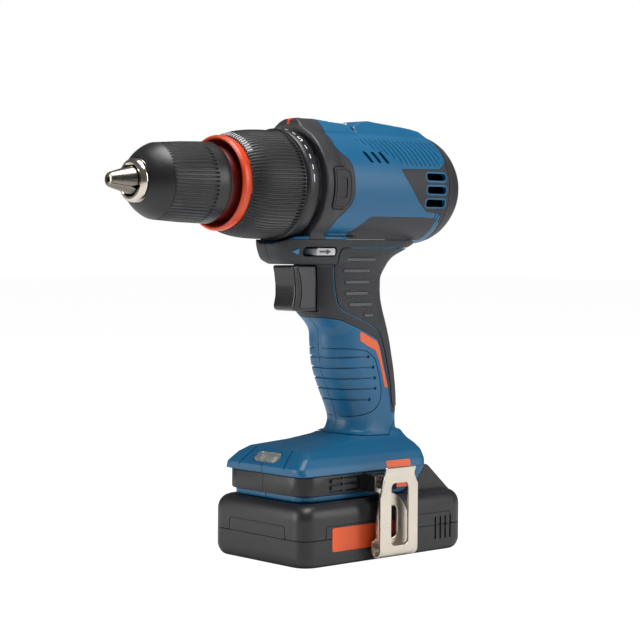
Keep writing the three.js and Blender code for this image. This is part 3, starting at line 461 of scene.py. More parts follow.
class Finish:
    """A material being made up."""

    def __init__(self, name, **constants):
        self.material = bpy.data.materials.new(name)
        self.material.use_nodes = True
        self.tree = self.material.node_tree
        self.surface = self.tree.nodes["Principled BSDF"]
        for socket, value in constants.items():
            self.surface.inputs[socket.replace("_", " ")].default_value = value

    def node(self, kind, output=0, settings=(), **values):
        return added(self.tree, kind, output, settings, **values)

    def here(self):
        return self.node("TexCoord", "Object")

    def axes(self):
        split = self.node("SeparateXYZ", Vector=self.here())
        return [Wire(self.tree, out) for out in split.socket.node.outputs]

    def blend(self, share, first, second):
        mix = self.tree.nodes.new("ShaderNodeMix")
        mix.data_type = "RGBA"
        for place, value in zip((0, 6, 7), (share, first, second)):
            fed(self.tree, mix.inputs[place], value)
        return Wire(self.tree, mix.outputs[2])

    def feed(self, socket, wire):
        fed(self.tree, self.surface.inputs[socket], wire)

    def bump(self, height, depth):
        self.feed("Normal", self.node("Bump", Height=height, Strength=1.0, Distance=depth * MM))


def tint(colour, factor=1.0):
    """A colour given as eight-bit values, as the linear light that a material takes."""
    linear = [((c / 255 + 0.055) / 1.055) ** 2.4 if c > 10 else c / 255 / 12.92 for c in colour]
    return (*[min(v * factor, 1.0) for v in linear], 1.0)


def moulded(name, colour, roughness, grain=0.45, depth=0.03, **constants):
    """Moulded plastic: a fine even grain, and a slight unevenness in colour and shine."""
    finish = Finish(name, **constants)
    here = finish.here()
    cloud = finish.node("TexNoise", Vector=here, Scale=55.0, Detail=3.0)
    grit = finish.node("TexNoise", Vector=here, Scale=1 / (grain * MM), Detail=2.0)
    finish.feed("Base Color", finish.blend(cloud, tint(colour, 0.9), tint(colour, 1.1)))
    finish.feed("Roughness", cloud * 0.1 + (grit * 0.06 + (roughness - 0.08)))
    finish.bump(grit, depth)
    return finish.material


def dotted(name, colour, roughness, pitch=1.5, depth=0.12):
    """Rubber covered in small round dots, with painted highlights on their tops and painted shade between
    them.
    """
    finish = Finish(name)
    x, y, z = finish.axes()
    turns = 2 * math.pi / (pitch * MM)
    dots = (y * turns).sine() * ((z + x * 0.4) * turns).sine()
    height = dots.math("MAXIMUM", dots, -0.2)
    grit = finish.node("TexNoise", Vector=finish.here(), Scale=2200.0, Detail=2.0)
    # Painted highlight on the dot tops and painted shade in the hollows between them.
    finish.feed("Base Color", finish.blend(height.above(0.35), tint(colour, 0.6), tint(colour, 1.3)))
    finish.feed("Roughness", grit * 0.12 + (roughness - 0.06))
    finish.bump(height, depth)
    return finish.material


def metal(name, colour, roughness, stretch=(1, 14, 1), depth=0.004, **constants):
    """Metal with the fine lines left by turning, rolling or grinding it."""
    finish = Finish(name, Metallic=1.0, **constants)
    long = finish.node("Mapping", Vector=finish.here(), Scale=stretch)
    lines = finish.node("TexNoise", Vector=long, Scale=420.0, Detail=4.0)
    cloud = finish.node("TexNoise", Vector=finish.here(), Scale=70.0, Detail=3.0)
    finish.feed("Base Color", finish.blend(cloud, tint(colour, 0.88), tint(colour, 1.08)))
    finish.feed("Roughness", lines * 0.14 + (cloud * 0.08 + (roughness - 0.11)))
    finish.bump(lines, depth)
    return finish.material


def faded(name, first, second, start, end, roughness):
    """A printed label whose colour runs from one end to the other."""
    finish = Finish(name)
    y = finish.axes()[1]
    share = finish.node("MapRange", Value=y, **{"From_Min": start * MM, "From_Max": end * MM})
    dust = finish.node("TexNoise", Vector=finish.here(), Scale=900.0, Detail=2.0)
    finish.feed("Base Color", finish.blend(share, tint(first), tint(second)))
    finish.feed("Roughness", dust * 0.12 + (roughness - 0.06))
    finish.bump(dust, 0.01)
    return finish.material


def windings(name, colour, pitch):
    """A wrapped or laminated surface, banded evenly along the tool."""
    finish = Finish(name, Metallic=0.6)
    bands = (finish.axes()[1] * (2 * math.pi / (pitch * MM))).sine()
    finish.feed("Base Color", finish.blend(bands.above(0.0), tint(colour, 0.7), tint(colour, 1.1)))
    finish.feed("Roughness", bands * 0.08 + 0.45)
    finish.bump(bands, 0.1)
    return finish.material


blue = moulded("blue plastic", (4, 88, 128), 0.42)
# Pale blue for the small direction marks, and for the seam round the rear pad, where the blue shell is made
# paler as a painted highlight of its lit edge.
pale_blue_mark_and_seam_highlight = moulded("pale blue mark and seam painted highlight", (58, 124, 164), 0.5)
charcoal = moulded("charcoal plastic", (40, 40, 44), 0.5)
side_charcoal = moulded("charcoal panel", (36, 36, 40), 0.55)
rubber = moulded("charcoal rubber", (42, 43, 47), 0.62, grain=0.6, depth=0.05)
rear_rubber = dotted("dotted rubber", (54, 55, 60), 0.62)
rib_rubber = moulded("rubber rib", (76, 77, 82), 0.5, grain=0.6)
black = moulded("black plastic", (20, 20, 23), 0.42)
ribbed_black = moulded("black grip plastic", (22, 22, 25), 0.4)
gloss = moulded("glossy black plastic", (15, 15, 17), 0.24, depth=0.012, Coat_Weight=0.2)
trigger_side = moulded("dark grey plastic", (48, 49, 54), 0.32)
orange = moulded("orange plastic", (208, 64, 22), 0.36)
accent_orange = moulded("orange inlay", (222, 96, 44), 0.45)
# White for the printed figures and dashes of the dial, and for painted highlights at the front ends of the
# collar's ribs.
white_print_and_highlight = moulded("white marking and painted highlight", (225, 226, 228), 0.5)
grey = moulded("pale grey plastic", (190, 191, 194), 0.42)
charcoal_case = moulded("charcoal battery case", (30, 30, 33), 0.42)
# Painted shade: the orange of the mode ring darkened, for the inside of its front groove.
painted_shade_orange = moulded("orange ring painted shade", (92, 10, 6), 0.4)
lens = moulded("clear lens", (226, 231, 234), 0.16, depth=0.01, Transmission_Weight=0.8, IOR=1.45)
chip = moulded("lamp chip", (236, 226, 170), 0.4)
steel = metal("steel", (150, 151, 154), 0.34)
dark_steel = metal("dark steel", (104, 101, 96), 0.3)
jaw_steel = metal("jaw steel", (128, 122, 114), 0.26, stretch=(1, 1, 1))
nickel = metal("satin nickel", (207, 199, 186), 0.3, stretch=(1, 1, 9))
ring_nickel = metal("polished nickel", (205, 196, 184), 0.18, stretch=(1, 1, 1))
aluminium = metal("cast aluminium", (178, 180, 184), 0.48, stretch=(1, 1, 1), depth=0.03)
brass = metal("brass", (186, 148, 72), 0.34)
wrap = moulded("cell wrap", (60, 128, 106), 0.4)
board = moulded("circuit board", (32, 92, 58), 0.5)
laminations = windings("laminated steel", (120, 116, 110), 1.0)
label = faded("battery label", (226, 86, 26), (110, 20, 16), -40, 14, 0.4)

INNER_FINISHES = {
    steel: ["spindle", "spindle_bearing", "rear_bearing", "rear_carrier", "motor_can", "motor_pinion",
            "clutch_spring", "trigger_spring", "jaw_nut", "ring_gear", "planet_gear"],
    dark_steel: ["chuck_screw", "case_screw"],
    laminations: ["motor_rotor"],
    aluminium: ["gear_case", "gearbox_plate"],
    black: ["motor_end_cap", "motor_fan", "switch_module"],
    brass: ["terminal_block"],
    wrap: ["battery_cell"],
    board: ["battery_board"],
}


# ---------------------------------------------------------------- housing
GRIP_OUTLINE = [*GRIP_EDGE, (45, 76), (62, 150), (62, 171), (-60, 171)]
COVER_OUTLINE = [(-40.3, 171.3), *COVER_EDGE, (-40.3, 240)]
COVER_INSIDE = spun([(BORE, -45), (BORE, 0)])
SCREWS = [(-3, 117, 16.4), (14, 80, 15.8), (-38, 53, 28.6), (36, 175, 17.6)]
VENTS = [(z - 2, z + 2) for z in (AXIS - 8.4, AXIS - 1.2, AXIS + 6)]


def trigger_bay():
    return joined(box(-8.9, 8.9, -60, -10.2, 132.3, 157.5), slab_x(
        rounded([(-60, 131.6), (-29, 131.6), (-27.4, 138), (-28.6, 154), (-31, 157.6), (-60, 157.6)], 3),
        -10.2, 10.2))


def selector_slot():
    return slab_x(stadium(-43, -21, 162.1, 167.3), -30, 30)


def speed_slot():
    return joined(box(-6.8, 6.8, -16.6, -0.4, 230.4, 240), box(-3.4, 3.4, -14, -3, 220, 240))


def front_slots():
    slots = []
    for y in (-7.9, -2.1, 3.7):
        outline = [(y + 2.9, 212.4), (y + 5.4, 212.4), (y + 1.7, 218.6), (y - 0.8, 218.6)]
        slots.append(slab_x(rounded(outline, 1.2), -40, 40))
    return slots


def upper_grooves():
    """Fine slanting lines over the shoulder of the motor housing."""
    field = [(-9, 225.6), (49, 225.6), (52, 222), (47, 211.8), (20.5, 211.8), (12.5, 216.5), (3, 219.5)]
    skin = sided(field, 5, barrel_form(0.55))
    lines = []
    for y in np.arange(-8, 66, 3.5):
        lines.append(slab_x([(y, 227), (y + 0.55, 227), (y - 8.45 + 16, 209), (y - 9 + 16, 209)], -80, 80))
    return [shared(skin, line) for line in lines]


def lower_grooves():
    inner = barrel_form(0.5)
    lines = [[(y, 189), (y + 0.6, 189), (y - 0.2, 181), (y - 0.8, 181)] for y in (50.4, 48, 45.6)]
    return [sided(line, 5, inner) for line in lines]


def channel(outline, width, form, from_x=3):
    """A narrow groove that follows an outline on both flanks, down to a form below."""
    outside = sided(grown(outline, width / 2), from_x, form)
    return cut(outside, sided(grown(outline, -width / 2), from_x - 1))


def front_pad_cuts():
    below = handle_form(0.9)
    cuts = [channel(rounded(FRONT_PAD, 3), 0.55, below)]
    for z, end in ((107.4, 4.6), (101.6, 8.4), (95.7, 9.8), (89.9, 10.2), (83.9, 6.6)):
        line = [(-40, z - 0.35), (end, z - 0.35), (end, z + 0.35), (-40, z + 0.35)]
        swell = pin_x(0.95, -40, 40, end, z, 20)
        ripple = slab_x([(-40, z - 1.5), (-6, z - 0.4), (-6, z + 0.4), (-40, z + 1.5)], -40, 40)
        cuts += [cut(slab_x(line, -40, 40), below), cut(swell, below), cut(ripple, handle_form(0.8))]
    return cuts


def neck_line():
    path = [(-30, 66.5), (-19.3, 67.2), (-9.8, 65.6), (5, 64.3), (20.2, 63.9), (26.3, 69.4), (40, 76)]
    return cut(slab_x(ribbon(path, 0.5), -40, 40), handle_form(1.1))


LAMP_TILT = math.atan2(59.3 - 51, 9.5)


def tilted(outline, low, high):
    """An outline of (x, distance up the slope) standing on the foot's sloping front."""
    shape = stack([[(x, v, z) for x, v in outline] for z in (low, high)])
    place = Matrix.Translation((0, -52.25, 55.15)) @ Matrix.Rotation(LAMP_TILT, 4, "X")
    shape.data.transform(place)
    return shape


def foot_cuts():
    lens_room = tilted(rounded([(-9.6, -3.9), (9.6, -3.9), (9.6, 3.9), (-9.6, 3.9)], 2.4), -5, 5)
    centre_line = slab_y([(-0.25, 47), (0.25, 47), (0.25, 70), (-0.25, 70)], -60, -50.5)
    cheek = []
    for side in (1, -1):
        line = [(side * 19.4, -12), (side * 20.1, -12), (side * 13.6, 11), (side * 12.9, 11)]
        cheek.append(tilted(line, -0.75, 4))
    return [lens_room, centre_line, *cheek]


def screw_wells():
    return [pin_x(3.2, -h - 8, -h + 3.4, y, z) for y, z, h in SCREWS]


def lamp():
    outline = rounded([(-9, -3.4), (9, -3.4), (9, 3.4), (-9, 3.4)], 2.2)
    kept(softened(tilted(outline, -2.0, 0.45), 0.22, 3), "lamp_cover", "housing", lens,
         ["lamp_lens"])
    for name, x in (("left", 4.6), ("right", -4.6)):
        square = [(x - 1.7, -1.7), (x + 1.7, -1.7), (x + 1.7, 1.7), (x - 1.7, 1.7)]
        pad = tilted(rounded(square, 0.5), -3, -2.3)
        kept(pad, f"lamp_chip_{name}", "housing", chip)


def blue_shell(skin, room):
    soft_room = cut(slab_x(grown(GRIP_OUTLINE, SEAM), -60, 60), handle_form(SOFT + SEAM),
                    saddle_form(SOFT + SEAM), barrel_form(0))
    cover_room = cut(slab_x(grown(COVER_OUTLINE, SEAM), -60, 60), COVER_INSIDE)
    tail_room = box(-60, 60, TAIL_SEAM, 120, 150, 260)
    vents = [slab_x(stadium(35.6, 50.4, *z), -40, 40) for z in VENTS]
    panel_floor = barrel_form(0.9)
    rims = [sided(grown(stadium(35.6, 50.4, *z), 1.0), 10) for z in VENTS]
    grip_side = slab_x(grown(GRIP_OUTLINE, SEAM), -60, 60)
    rear_room = cut(sided(grown(rounded(REAR_PANEL, 1.5), 0.12), 10, panel_floor), *rims, grip_side)
    lower_room = cut(sided(grown(rounded(LOWER_PANEL, 1.5), 0.12), 8, panel_floor), grip_side)
    accent_room = sided(grown(rounded(ACCENT, 0.8), 0.12), 6, handle_form(1.2))
    shell = cut(skin, room, soft_room, cover_room, tail_room, trigger_bay(), selector_slot(), speed_slot(),
                *vents, rear_room, lower_room, accent_room, *front_slots(), *upper_grooves(),
                *lower_grooves(), *front_pad_cuts(), neck_line(), *foot_cuts(), *screw_wells())
    for side, word in ((1, "left"), (-1, "right")):
        kept(half(shell, side), f"shell_{word}", "housing", blue, [f"housing_{word}"])


def side_panels(skin):
    """Charcoal and orange inlays on the flanks."""
    floor = barrel_form(0.8)
    body = cut(shared(skin, box(-60, 60, FLANGE_FRONT, TAIL_SEAM - 0.1, 100, 260)), floor, selector_slot())
    rims = [sided(grown(stadium(35.6, 50.4, *z), 1.15), 10) for z in VENTS]
    clear = [slab_x(grown(edge, SEAM + 0.1), -60, 60) for edge in (GRIP_OUTLINE, COVER_OUTLINE)]
    lower = sided(rounded(LOWER_PANEL, 1.5), 8)
    rear = cut(sided(rounded(REAR_PANEL, 1.5), 10), *rims, sided(grown(rounded(LOWER_PANEL, 1.5), 0.25), 5))
    accents = sided(rounded(ACCENT, 0.8), 6, handle_form(1.1))
    for side, word in ((1, "left"), (-1, "right")):
        kept(half(cut(shared(body, lower), *clear), side), f"lower_panel_{word}", "housing", side_charcoal)
        kept(half(cut(shared(body, rear), *clear), side), f"vent_panel_{word}", "housing", side_charcoal)
        kept(half(shared(skin, accents), side), f"orange_inlay_{word}", "housing", accent_orange)


def grip(skin):
    """The rubber round the trigger and down the back of the handle."""
    outer = joined(handle_form(-0.25), saddle_form(0))
    under = joined(handle_form(SOFT), saddle_form(SOFT), barrel_form(-SEAM))
    rubber_skin = cut(shared(slab_x(GRIP_OUTLINE, -60, 60), skin), under,
                      trigger_bay(), selector_slot(), spun([(33, -42), (33, 60)]))
    pad_outline = rounded(REAR_PAD, 2.5)
    pad_area = slab_x(pad_outline, -60, 60)
    front = cut(rubber_skin, slab_x(grown(pad_outline, 0.75), -60, 60))
    pad = shared(joined(rubber_skin, cut(shared(outer, slab_x(grown(GRIP_OUTLINE, -0.4), -60, 60)),
                                         handle_form(1.0), spun([(32.2, -42), (32.2, 60)]))), pad_area)
    # The blue shell showing in the seam round the rear pad, raised near the surface and coloured pale blue
    # as a painted highlight of its lit edge.
    bead = cut(shared(slab_x(grown(pad_outline, 0.62), -60, 60), handle_form(0.35)),
               slab_x(grown(pad_outline, 0.12), -60, 60), handle_form(SOFT),
               slab_x([(-60, 0), (60, 0), (60, 79), (-60, 79)], -60, 60), spun([(32.2, -42), (32.2, 60)]))
    bead = shared(bead, slab_x(GRIP_OUTLINE, -60, 60))
    ribs = [(160.5, -13.6, 8.4), (154.4, -13.9, 4.6), (148.3, -12.4, 4.4), (142.2, -12.4, 3.4),
            (136.1, -10, 7), (130.1, 1, 7.6)]
    for side, word in ((1, "left"), (-1, "right")):
        kept(half(front, side), f"trigger_rubber_{word}", "housing", rubber,
             [f"grip_overmould_{word}"])
        kept(half(pad, side), f"rear_rubber_{word}", "housing", rear_rubber)
        kept(half(bead, side), f"seam_highlight_bead_{word}", "housing", pale_blue_mark_and_seam_highlight)
        for number, (z, y0, y1) in enumerate(ribs, 1):
            bar = shared(slab_x(stadium(y0, y1, z - 0.75, z + 0.75), -60, 60), handle_form(-0.8))
            bar = half(cut(bar, handle_form(0.6)), side)
            kept(bar, f"palm_rib_{word}_{number}", "housing", rib_rubber)


def badge_skin(raised):
    """The face of the badges, or one a little below it."""
    return spun([(33.2 + raised, -50), (33.2 + raised, -35), (32.0 + raised, -21), (32.0 + raised, 0)])


def cover(skin):
    """The charcoal cover over the gearbox, its blank badges and its pointer."""
    badge = rounded([(-35, 187.5), (-24.6, 187.5), (-21.5, 190.6), (-21.5, 206.2), (-24.6, 209.3),
                     (-35, 209.3)], 2.2)
    badge_room = sided(grown(badge, 0.55), 10, barrel_form(0.7))
    shell = cut(shared(slab_x(COVER_OUTLINE, -60, 60), skin), COVER_INSIDE, speed_slot(), badge_room)
    arrow = [(-2.9, -33.6), (2.9, -33.6), (2.4, -35.2), (0.8, -39.6), (-0.8, -39.6), (-2.4, -35.2)]
    room = stack([[(x, y, z) for x, y in grown(arrow, 0.15)] for z in (230, 245)])
    kept(cut(shell, room), "gearbox_cover", "housing", charcoal,
         ["front_cover"])
    pointer = shared(stack([[(x, y, z) for x, y in arrow] for z in (231, 245)]),
                     shifted(copied(skin), 0, 0, 0.25))
    kept(pointer, "torque_pointer", "housing", orange)
    plate = shared(sided(badge, 10, barrel_form(0.6)), badge_skin(0))
    inner = grown(badge, -1.3)
    mark = rounded([(-31.5, 193), (-25.5, 193), (-25.5, 204), (-31.5, 204)], 1.4)
    plate = cut(plate, channel(inner, 0.4, badge_skin(-0.35), 12), sided(mark, 10, badge_skin(-0.5)))
    for side, word in ((1, "left"), (-1, "right")):
        kept(half(plate, side), f"blank_badge_{word}", "housing", side_charcoal)


def shifted(shape, x, y, z):
    shape.data.transform(Matrix.Translation((x, y, z)))
    return shape


def tail(skin):
    room = spun([(BORE, 40), (BORE, 51), (BORE - 3, 62), (BORE - 8, 69), (14, 73)], 96)
    band = lathe([(29.6, 56.6), (33, 56.6), (33, 57.2), (29.9, 57.2)])
    cap = cut(shared(skin, box(-60, 60, TAIL_SEAM + SEAM, 120, 150, 260)), room, band)
    kept(cap, "tail_cover", "housing", charcoal, ["tail_cap"])


def housing():
    skin = outer_form()
    blue_shell(skin, inner_room())
    side_panels(skin)
    grip(skin)
    cover(skin)
    tail(skin)
    lamp()


# ---------------------------------------------------------------- trigger and switches
def trigger():
    well = spun([(4.2, -27), (4.2, -17)], 48, 145)
    lever = cut(slab_x(rounded(TRIGGER, 1.6), -8.3, 8.3), well)
    lever = softened(lever, 0.4, 7)
    kept(lever, "trigger_lever", "trigger", gloss, ["trigger"])
    plate = rounded([(-38.2, 134.4), (-27, 134.4), (-27, 156.4), (-39.6, 156.4), (-37.2, 151), (-36.4, 144),
                     (-36.9, 138.5)], 1.5)
    for side, word in ((1, "left"), (-1, "right")):
        x0, x1 = sorted((side * 7.6, side * 8.75))
        kept(softened(slab_x(plate, x0, x1), 0.3, 2), f"trigger_side_{word}", "trigger", trigger_side)


def selector():
    bar = softened(slab_x(rounded([(-36.3, 162.8), (-23, 162.8), (-23, 166.6), (-36.3, 166.6)], 1),
                          -20.4, 20.4), 0.45, 2)
    kept(bar, "selector_bar", "selector", grey, ["direction_selector"])
    arrow = [(-34.6, 164.3), (-29.5, 164.3), (-29.5, 163.5), (-26.6, 164.75), (-29.5, 166), (-29.5, 165.2),
             (-34.6, 165.2)]
    for side, word in ((1, "left"), (-1, "right")):
        x0, x1 = sorted((side * 20, side * 20.75))
        kept(slab_x(arrow, x0, x1), f"selector_arrow_{word}", "selector", trigger_side)
        direction_mark(side, word)


def direction_mark(side, word):
    """A small blue arrow head in front of the selector."""
    area = slab_x([(-48.4, 164.7), (-45.2, 163.2), (-45.2, 166.2)], *sorted((side * 5, side * 40)))
    mark = shared(area, cut(saddle_form(-0.3), saddle_form(0.5)))
    kept(mark, f"direction_mark_{word}", "housing", pale_blue_mark_and_seam_highlight)


def speed_slider():
    slide = joined(box(-6.2, 6.2, -9.8, -1, 230.8, 233.4), box(-2.8, 2.8, -7.4, -3.6, 228.7, 231),
                   *[box(-5, 5, y, y + 1.1, 233, 234.6) for y in (-8.6, -6.3, -4, -2.2)])
    kept(softened(slide, 0.3, 2), "speed_slider", "speed_switch", grey, ["speed_switch"])


# ---------------------------------------------------------------- chuck and rings
def grooves(count, depth, width, start, end):
    """Long narrow grooves with round ends, evenly spaced round a turned piece."""

    def relief(radius, y, turn):
        if y < start or y > end:
            return 0.0
        pitch = 2 * math.pi / count
        off = ((turn + pitch / 2) % pitch - pitch / 2) * radius
        past = max(0.0, y - (end - width / 2), start + width / 2 - y)
        deep = depth * (1.7 if y > end - 2.4 else 1.0)
        return -deep * np.clip(1 - (off**2 + past**2) / (width / 2) ** 2, 0, 1) ** 0.5

    return relief


def along(first, last, step):
    """Points on a straight stretch of profile, close enough together to carry grooves."""
    (r0, y0), (r1, y1) = first, last
    count = max(2, int(abs(y1 - y0) / step))
    return [(r0 + (r1 - r0) * t, y0 + (y1 - y0) * t) for t in np.linspace(0, 1, count)]


def profile_curve(points, step=0.4):
    """A smooth profile of (radius, y) through the points given."""
    rows = smooth_rows([(y, r) for r, y in points], step)
    return [(r, y) for y, r in rows]


def chuck_sleeve():
    outside = [(19.2, -129.0), (19.45, -128.7), *along((19.5, -128.4), (20.6, -112), 1.2),
               *along((20.6, -111), (20.95, -101.4), 0.25), (21.05, -98), (21.1, -95.6), (20.7, -94.8),
               (20.2, -94.6)]
    inside = [(18.9, -94.6), (18.9, -106), (18.2, -116), (17.3, -129.0)]
    relief = grooves(60, 0.5, 1.25, -129.5, -102.6)
    sleeve = lathe([*outside, *inside], 1200, relief)
    kept(sleeve, "gripping_sleeve", "sleeve", ribbed_black, ["chuck_sleeve"], 50)


def nose():
    outside = profile_curve([(11.5, -139.9), (14.2, -137.6), (16.9, -134.2), (18.6, -131.2),
                             (19.35, -129.35)], 0.35)
    dome = lathe([*outside, (17.3, -129.3), (16.6, -130.9), (14.6, -133.6), (12.3, -136.4),
                  (11.5, -138.2)], 256)
    kept(dome, "nose_dome", "sleeve", black, ["chuck_nose"])
    kept(lathe([(19.0, -95.9), (20.6, -95.9), (20.4, -94.3), (19.2, -94.2)], 256), "sleeve_rim", "sleeve",
         dark_steel)


def turned_by(angle):
    """Lifts a shape from the origin to the spindle line, turned about it."""
    return Matrix.Translation((0, 0, AXIS)) @ Matrix.Rotation(math.radians(angle), 4, "Y")


def jaw_rod(radius, start, length, angle):
    """A bar lying along a jaw's own slanting line, wider than it is thick."""
    lean = math.radians(15.5)
    turn = np.linspace(0, 2 * np.pi, 64, endpoint=False)
    rings = []
    for s in (start, length):
        rings.append([(radius * math.cos(t), s, 1.6 * radius * math.sin(t)) for t in turn])
    rod = stack(rings)
    place = turned_by(angle) @ Matrix.Translation((1, -156.6, 0)) @ Matrix.Rotation(-lean, 4, "Z")
    rod.data.transform(place)
    return rod


def jaws():
    for number, angle in enumerate((90, 210, 330), 1):
        turn = turned_by(angle)
        far = 30 * math.sqrt(3)
        sector = slab_y([(0.15, 0), (30.15, -far), (30.15, far)], -156.6, -80)
        sector.data.transform(turn)
        mouth = spun([(1.5, -158), (1.1, -155.4)], 48)
        tip = spun([(2.6, -156.6), (3.4, -156.2), (3.9, -155.3), (30, -60), (30, -50)], 96)
        blade = cut(shared(jaw_rod(3.4, -3, 28.5, angle), sector, tip), mouth)
        kept(blade, f"jaw_{number}_blade", f"jaw_{number}", jaw_steel,
             [f"chuck_jaw_{number}"])


def chuck_core():
    outside = [(7.6, -143.2), (8.2, -143.6), (9.4, -143.6), (10.7, -142.4), (11.1, -141.2), (11.1, -140.6),
               (10.3, -140.3), (10.3, -139.7), (11.1, -139.4), (11.1, -126.7), (16.6, -126.4),
               (16.6, -104), (13, -100), (6.3, -100), (6.3, -112), (2.9, -112), (2.9, -114), (7.4, -114)]
    ring = lathe(outside, 192)
    bores = [jaw_rod(3.6, -3, 70, angle) for angle in (90, 210, 330)]
    kept(cut(ring, *bores), "chuck_core", "spindle", ring_nickel, ["chuck_body"])


def mode_ring():
    ring = lathe([*profile_curve([(24.1, -89.9), (24.8, -88.6), (24.75, -86.4), (24.0, -83.9)], 0.3),
                  (23.6, -80.6), (23.3, -79.8), (17.9, -79.8), (17.9, -93.6), (18.5, -93.8),
                  (18.9, -92), (19.4, -84.4), (22.9, -89.7), (23.4, -90.1)], 384)
    strokes = []
    for angle in (-12, -9.5, -7, 24, 26.5):
        bar = slab_y([(24.2, -0.3), (24.95, -0.3), (24.95, 0.3), (24.2, 0.3)], -86.9, -84.6)
        bar.data.transform(turned_by(-angle))
        strokes.append(bar)
    kept(joined(ring, *strokes), "mode_selector_ring", "mode_ring", orange, ["mode_ring"])
    # A thin sheet laid over the faces of the ring's front groove, coloured dark red as painted shade of the
    # orange ring in its recess.
    throat = spun([(17.5, -93.9), (18.7, -93.9), (19.1, -92), (19.6, -85), (22.7, -89.5), (23, -89.4),
                   (19.8, -83.6), (17.5, -83.6)], 256)
    kept(throat, "ring_throat", "mode_ring", painted_shade_orange)


def torque_collar():
    nose_part = profile_curve([(24.6, -84.4), (26.0, -81.6), (27.3, -77), (28.3, -70), (28.75, -62)], 0.6)
    tail_part = along((28.75, -61.6), (28.7, -51), 0.25)
    outside = [*nose_part, *tail_part, (29.4, -50.7), (29.9, -50.1), (30, -48), (30, -44), (29.7, -43.2),
               (29.3, -43)]
    inside = [(27.2, -43), (26.6, -62), (25.2, -74), (24.4, -79.5)]
    relief = grooves(90, 0.62, 1.3, -84.2, -51.6)
    collar = lathe([*outside, *inside], 1440, relief)
    kept(collar, "ribbed_collar", "collar", ribbed_black, ["torque_collar"], 50)


def wrapped(shape, radius, y, angle):
    """Bends a flat mark round the collar: its width follows the rim, its top points forwards."""
    for vertex in shape.data.vertices:
        right, up, out = vertex.co
        turn = math.radians(angle) + right / radius
        reach = radius + out
        vertex.co = (reach * math.cos(turn), y - up, AXIS + reach * math.sin(turn))
    return shape


def figure(text, size):
    """A printed figure as a thin plate, centred on nothing."""
    curve = bpy.data.curves.new("figure", "FONT")
    curve.body = text
    curve.size = size
    curve.extrude = 0.1
    curve.align_x = "CENTER"
    curve.align_y = "CENTER"
    writer = bpy.data.objects.new("figure", curve)
    workshop.objects.link(writer)
    graph = bpy.context.evaluated_depsgraph_get()
    shape = bpy.data.objects.new("figure", bpy.data.meshes.new_from_object(writer.evaluated_get(graph)))
    workshop.objects.link(shape)
    return shape


def ticks():
    """Painted highlights where the collar's ribs end at its front: a short arc of white strokes in step
    with the grooves, read against the orange ring.
    """
    face = spun([(25.15, -83.8), (26.55, -81.2), (26.2, -81.2), (24.8, -83.8)], 256)
    strokes = []
    for angle in range(40, 96, 4):
        line = slab_y([(20, -0.16), (30, -0.16), (30, 0.16), (20, 0.16)], -84, -81)
        line.data.transform(turned_by(-angle))
        strokes.append(line)
    # White strokes standing for painted highlights at the rib ends.
    kept(shared(face, joined(*strokes)), "collar_rib_end_highlights", "collar", white_print_and_highlight)


def bar(width, length):
    return stack([[(x, y, z) for x, y in ((-width, -length), (width, -length), (width, length),
                                         (-width, length))] for z in (-0.1, 0.1)])


def dial():
    """Settings 1 to 21 round the collar: a figure at every fourth, a dash at the rest."""
    for setting in range(1, 22):
        angle = 5.7 + 11.6 * (setting - 1)
        if setting % 4 == 1:
            mark = figure(str(setting), 5.6)
            mark.data.transform(Matrix.Rotation(-math.pi / 2, 4, "Z"))
        else:
            mark = bar(1.3, 0.28)
        kept(wrapped(mark, 30, -47, angle), f"dial_mark_{setting}", "collar", white_print_and_highlight)


# ---------------------------------------------------------------- foot band and belt clip
BAND_REAR = 4.6  # where the band ends and the blue heel takes over


def heel_form():
    return stack([box_ring(36.5, -57, 27.4, 31.8, 4.5), box_ring(39.5, -57, 30.5, 32, 4.5),
                  box_ring(47.3, -57, 36.3, 32.4, 4.5)])


def foot_band():
    low, high = 36.7, 46.8
    band = stack([box_ring(low, -55.4, 27, 31.6, 9), box_ring(low + 0.5, -55.7, 27.3, 31.9, 9),
                  box_ring(high - 0.5, -55.7, 35, 31.9, 9), box_ring(high, -55.4, 35, 31.6, 9)])
    room = stack([box_ring(z, -53.5, 60, 29.5, 8) for z in (low - 1, high + 1)])
    boss = softened(slab_x(rounded([(-12.8, 37), (5, 37), (5, 46.8), (-12.8, 46.8)], 1), 31, 40), 0.4, 2)
    rest = slab_x(rounded([(-37.4, 37.9), (-14.5, 37.9), (-14.5, 45.6), (-37.4, 45.6)], 1), 30.6, 40)
    notch = slab_x(rounded([(-11, 38), (-3, 38), (-3, 45.8), (-11, 45.8)], 0.8), 39, 41)
    band = cut(band, room, box(-60, 60, BAND_REAR, 80, 30, 50))
    heel = cut(heel_form(), room, box(-60, 60, -80, BAND_REAR + SEAM, 30, 50))
    left = cut(joined(half(band, 1), boss), rest, notch, pin_x(2, 26, 60, -8, 41.6))
    for word, shape in (("left", left), ("right", half(band, -1))):
        kept(shape, f"bumper_{word}", "housing", black, [f"foot_band_{word}"])
    for side, word in ((1, "left"), (-1, "right")):
        kept(half(copied(heel), side), f"heel_{word}", "housing", blue)
    holder = joined(slab_x(rounded([(-35, 39), (-17, 39), (-17, 41.2), (-35, 41.2)], 0.8), 30.7, 31.7),
                    slab_x(rounded([(-35, 42.6), (-17, 42.6), (-17, 44.6), (-35, 44.6)], 0.8), 30.7, 31.7),
                    box(30.7, 31.5, -27, -25.4, 38.2, 45.4))
    kept(holder, "bit_holder", "housing", side_charcoal)


def clip_section():
    """The folded sheet seen from the front, as (x, z)."""
    middle, reach, fold = 44.0, 3.7, 6.1

    def bend(radius, start, end):
        turn = np.radians(np.linspace(start, end, 16))
        return [(middle + radius * math.cos(t), fold + radius * math.sin(t)) for t in turn]

    lip = [(47.7, 45.6), (47.95, 47.4), (48.6, 49.2), (49.0, 50.2), (47.8, 50.8), (47.2, 49.4),
           (46.5, 47.8), (46.2, 45.8)]
    return [(40.3, 46), *bend(reach, 180, 360), *lip, *bend(reach - 1.5, 360, 180), (41.8, 46)]


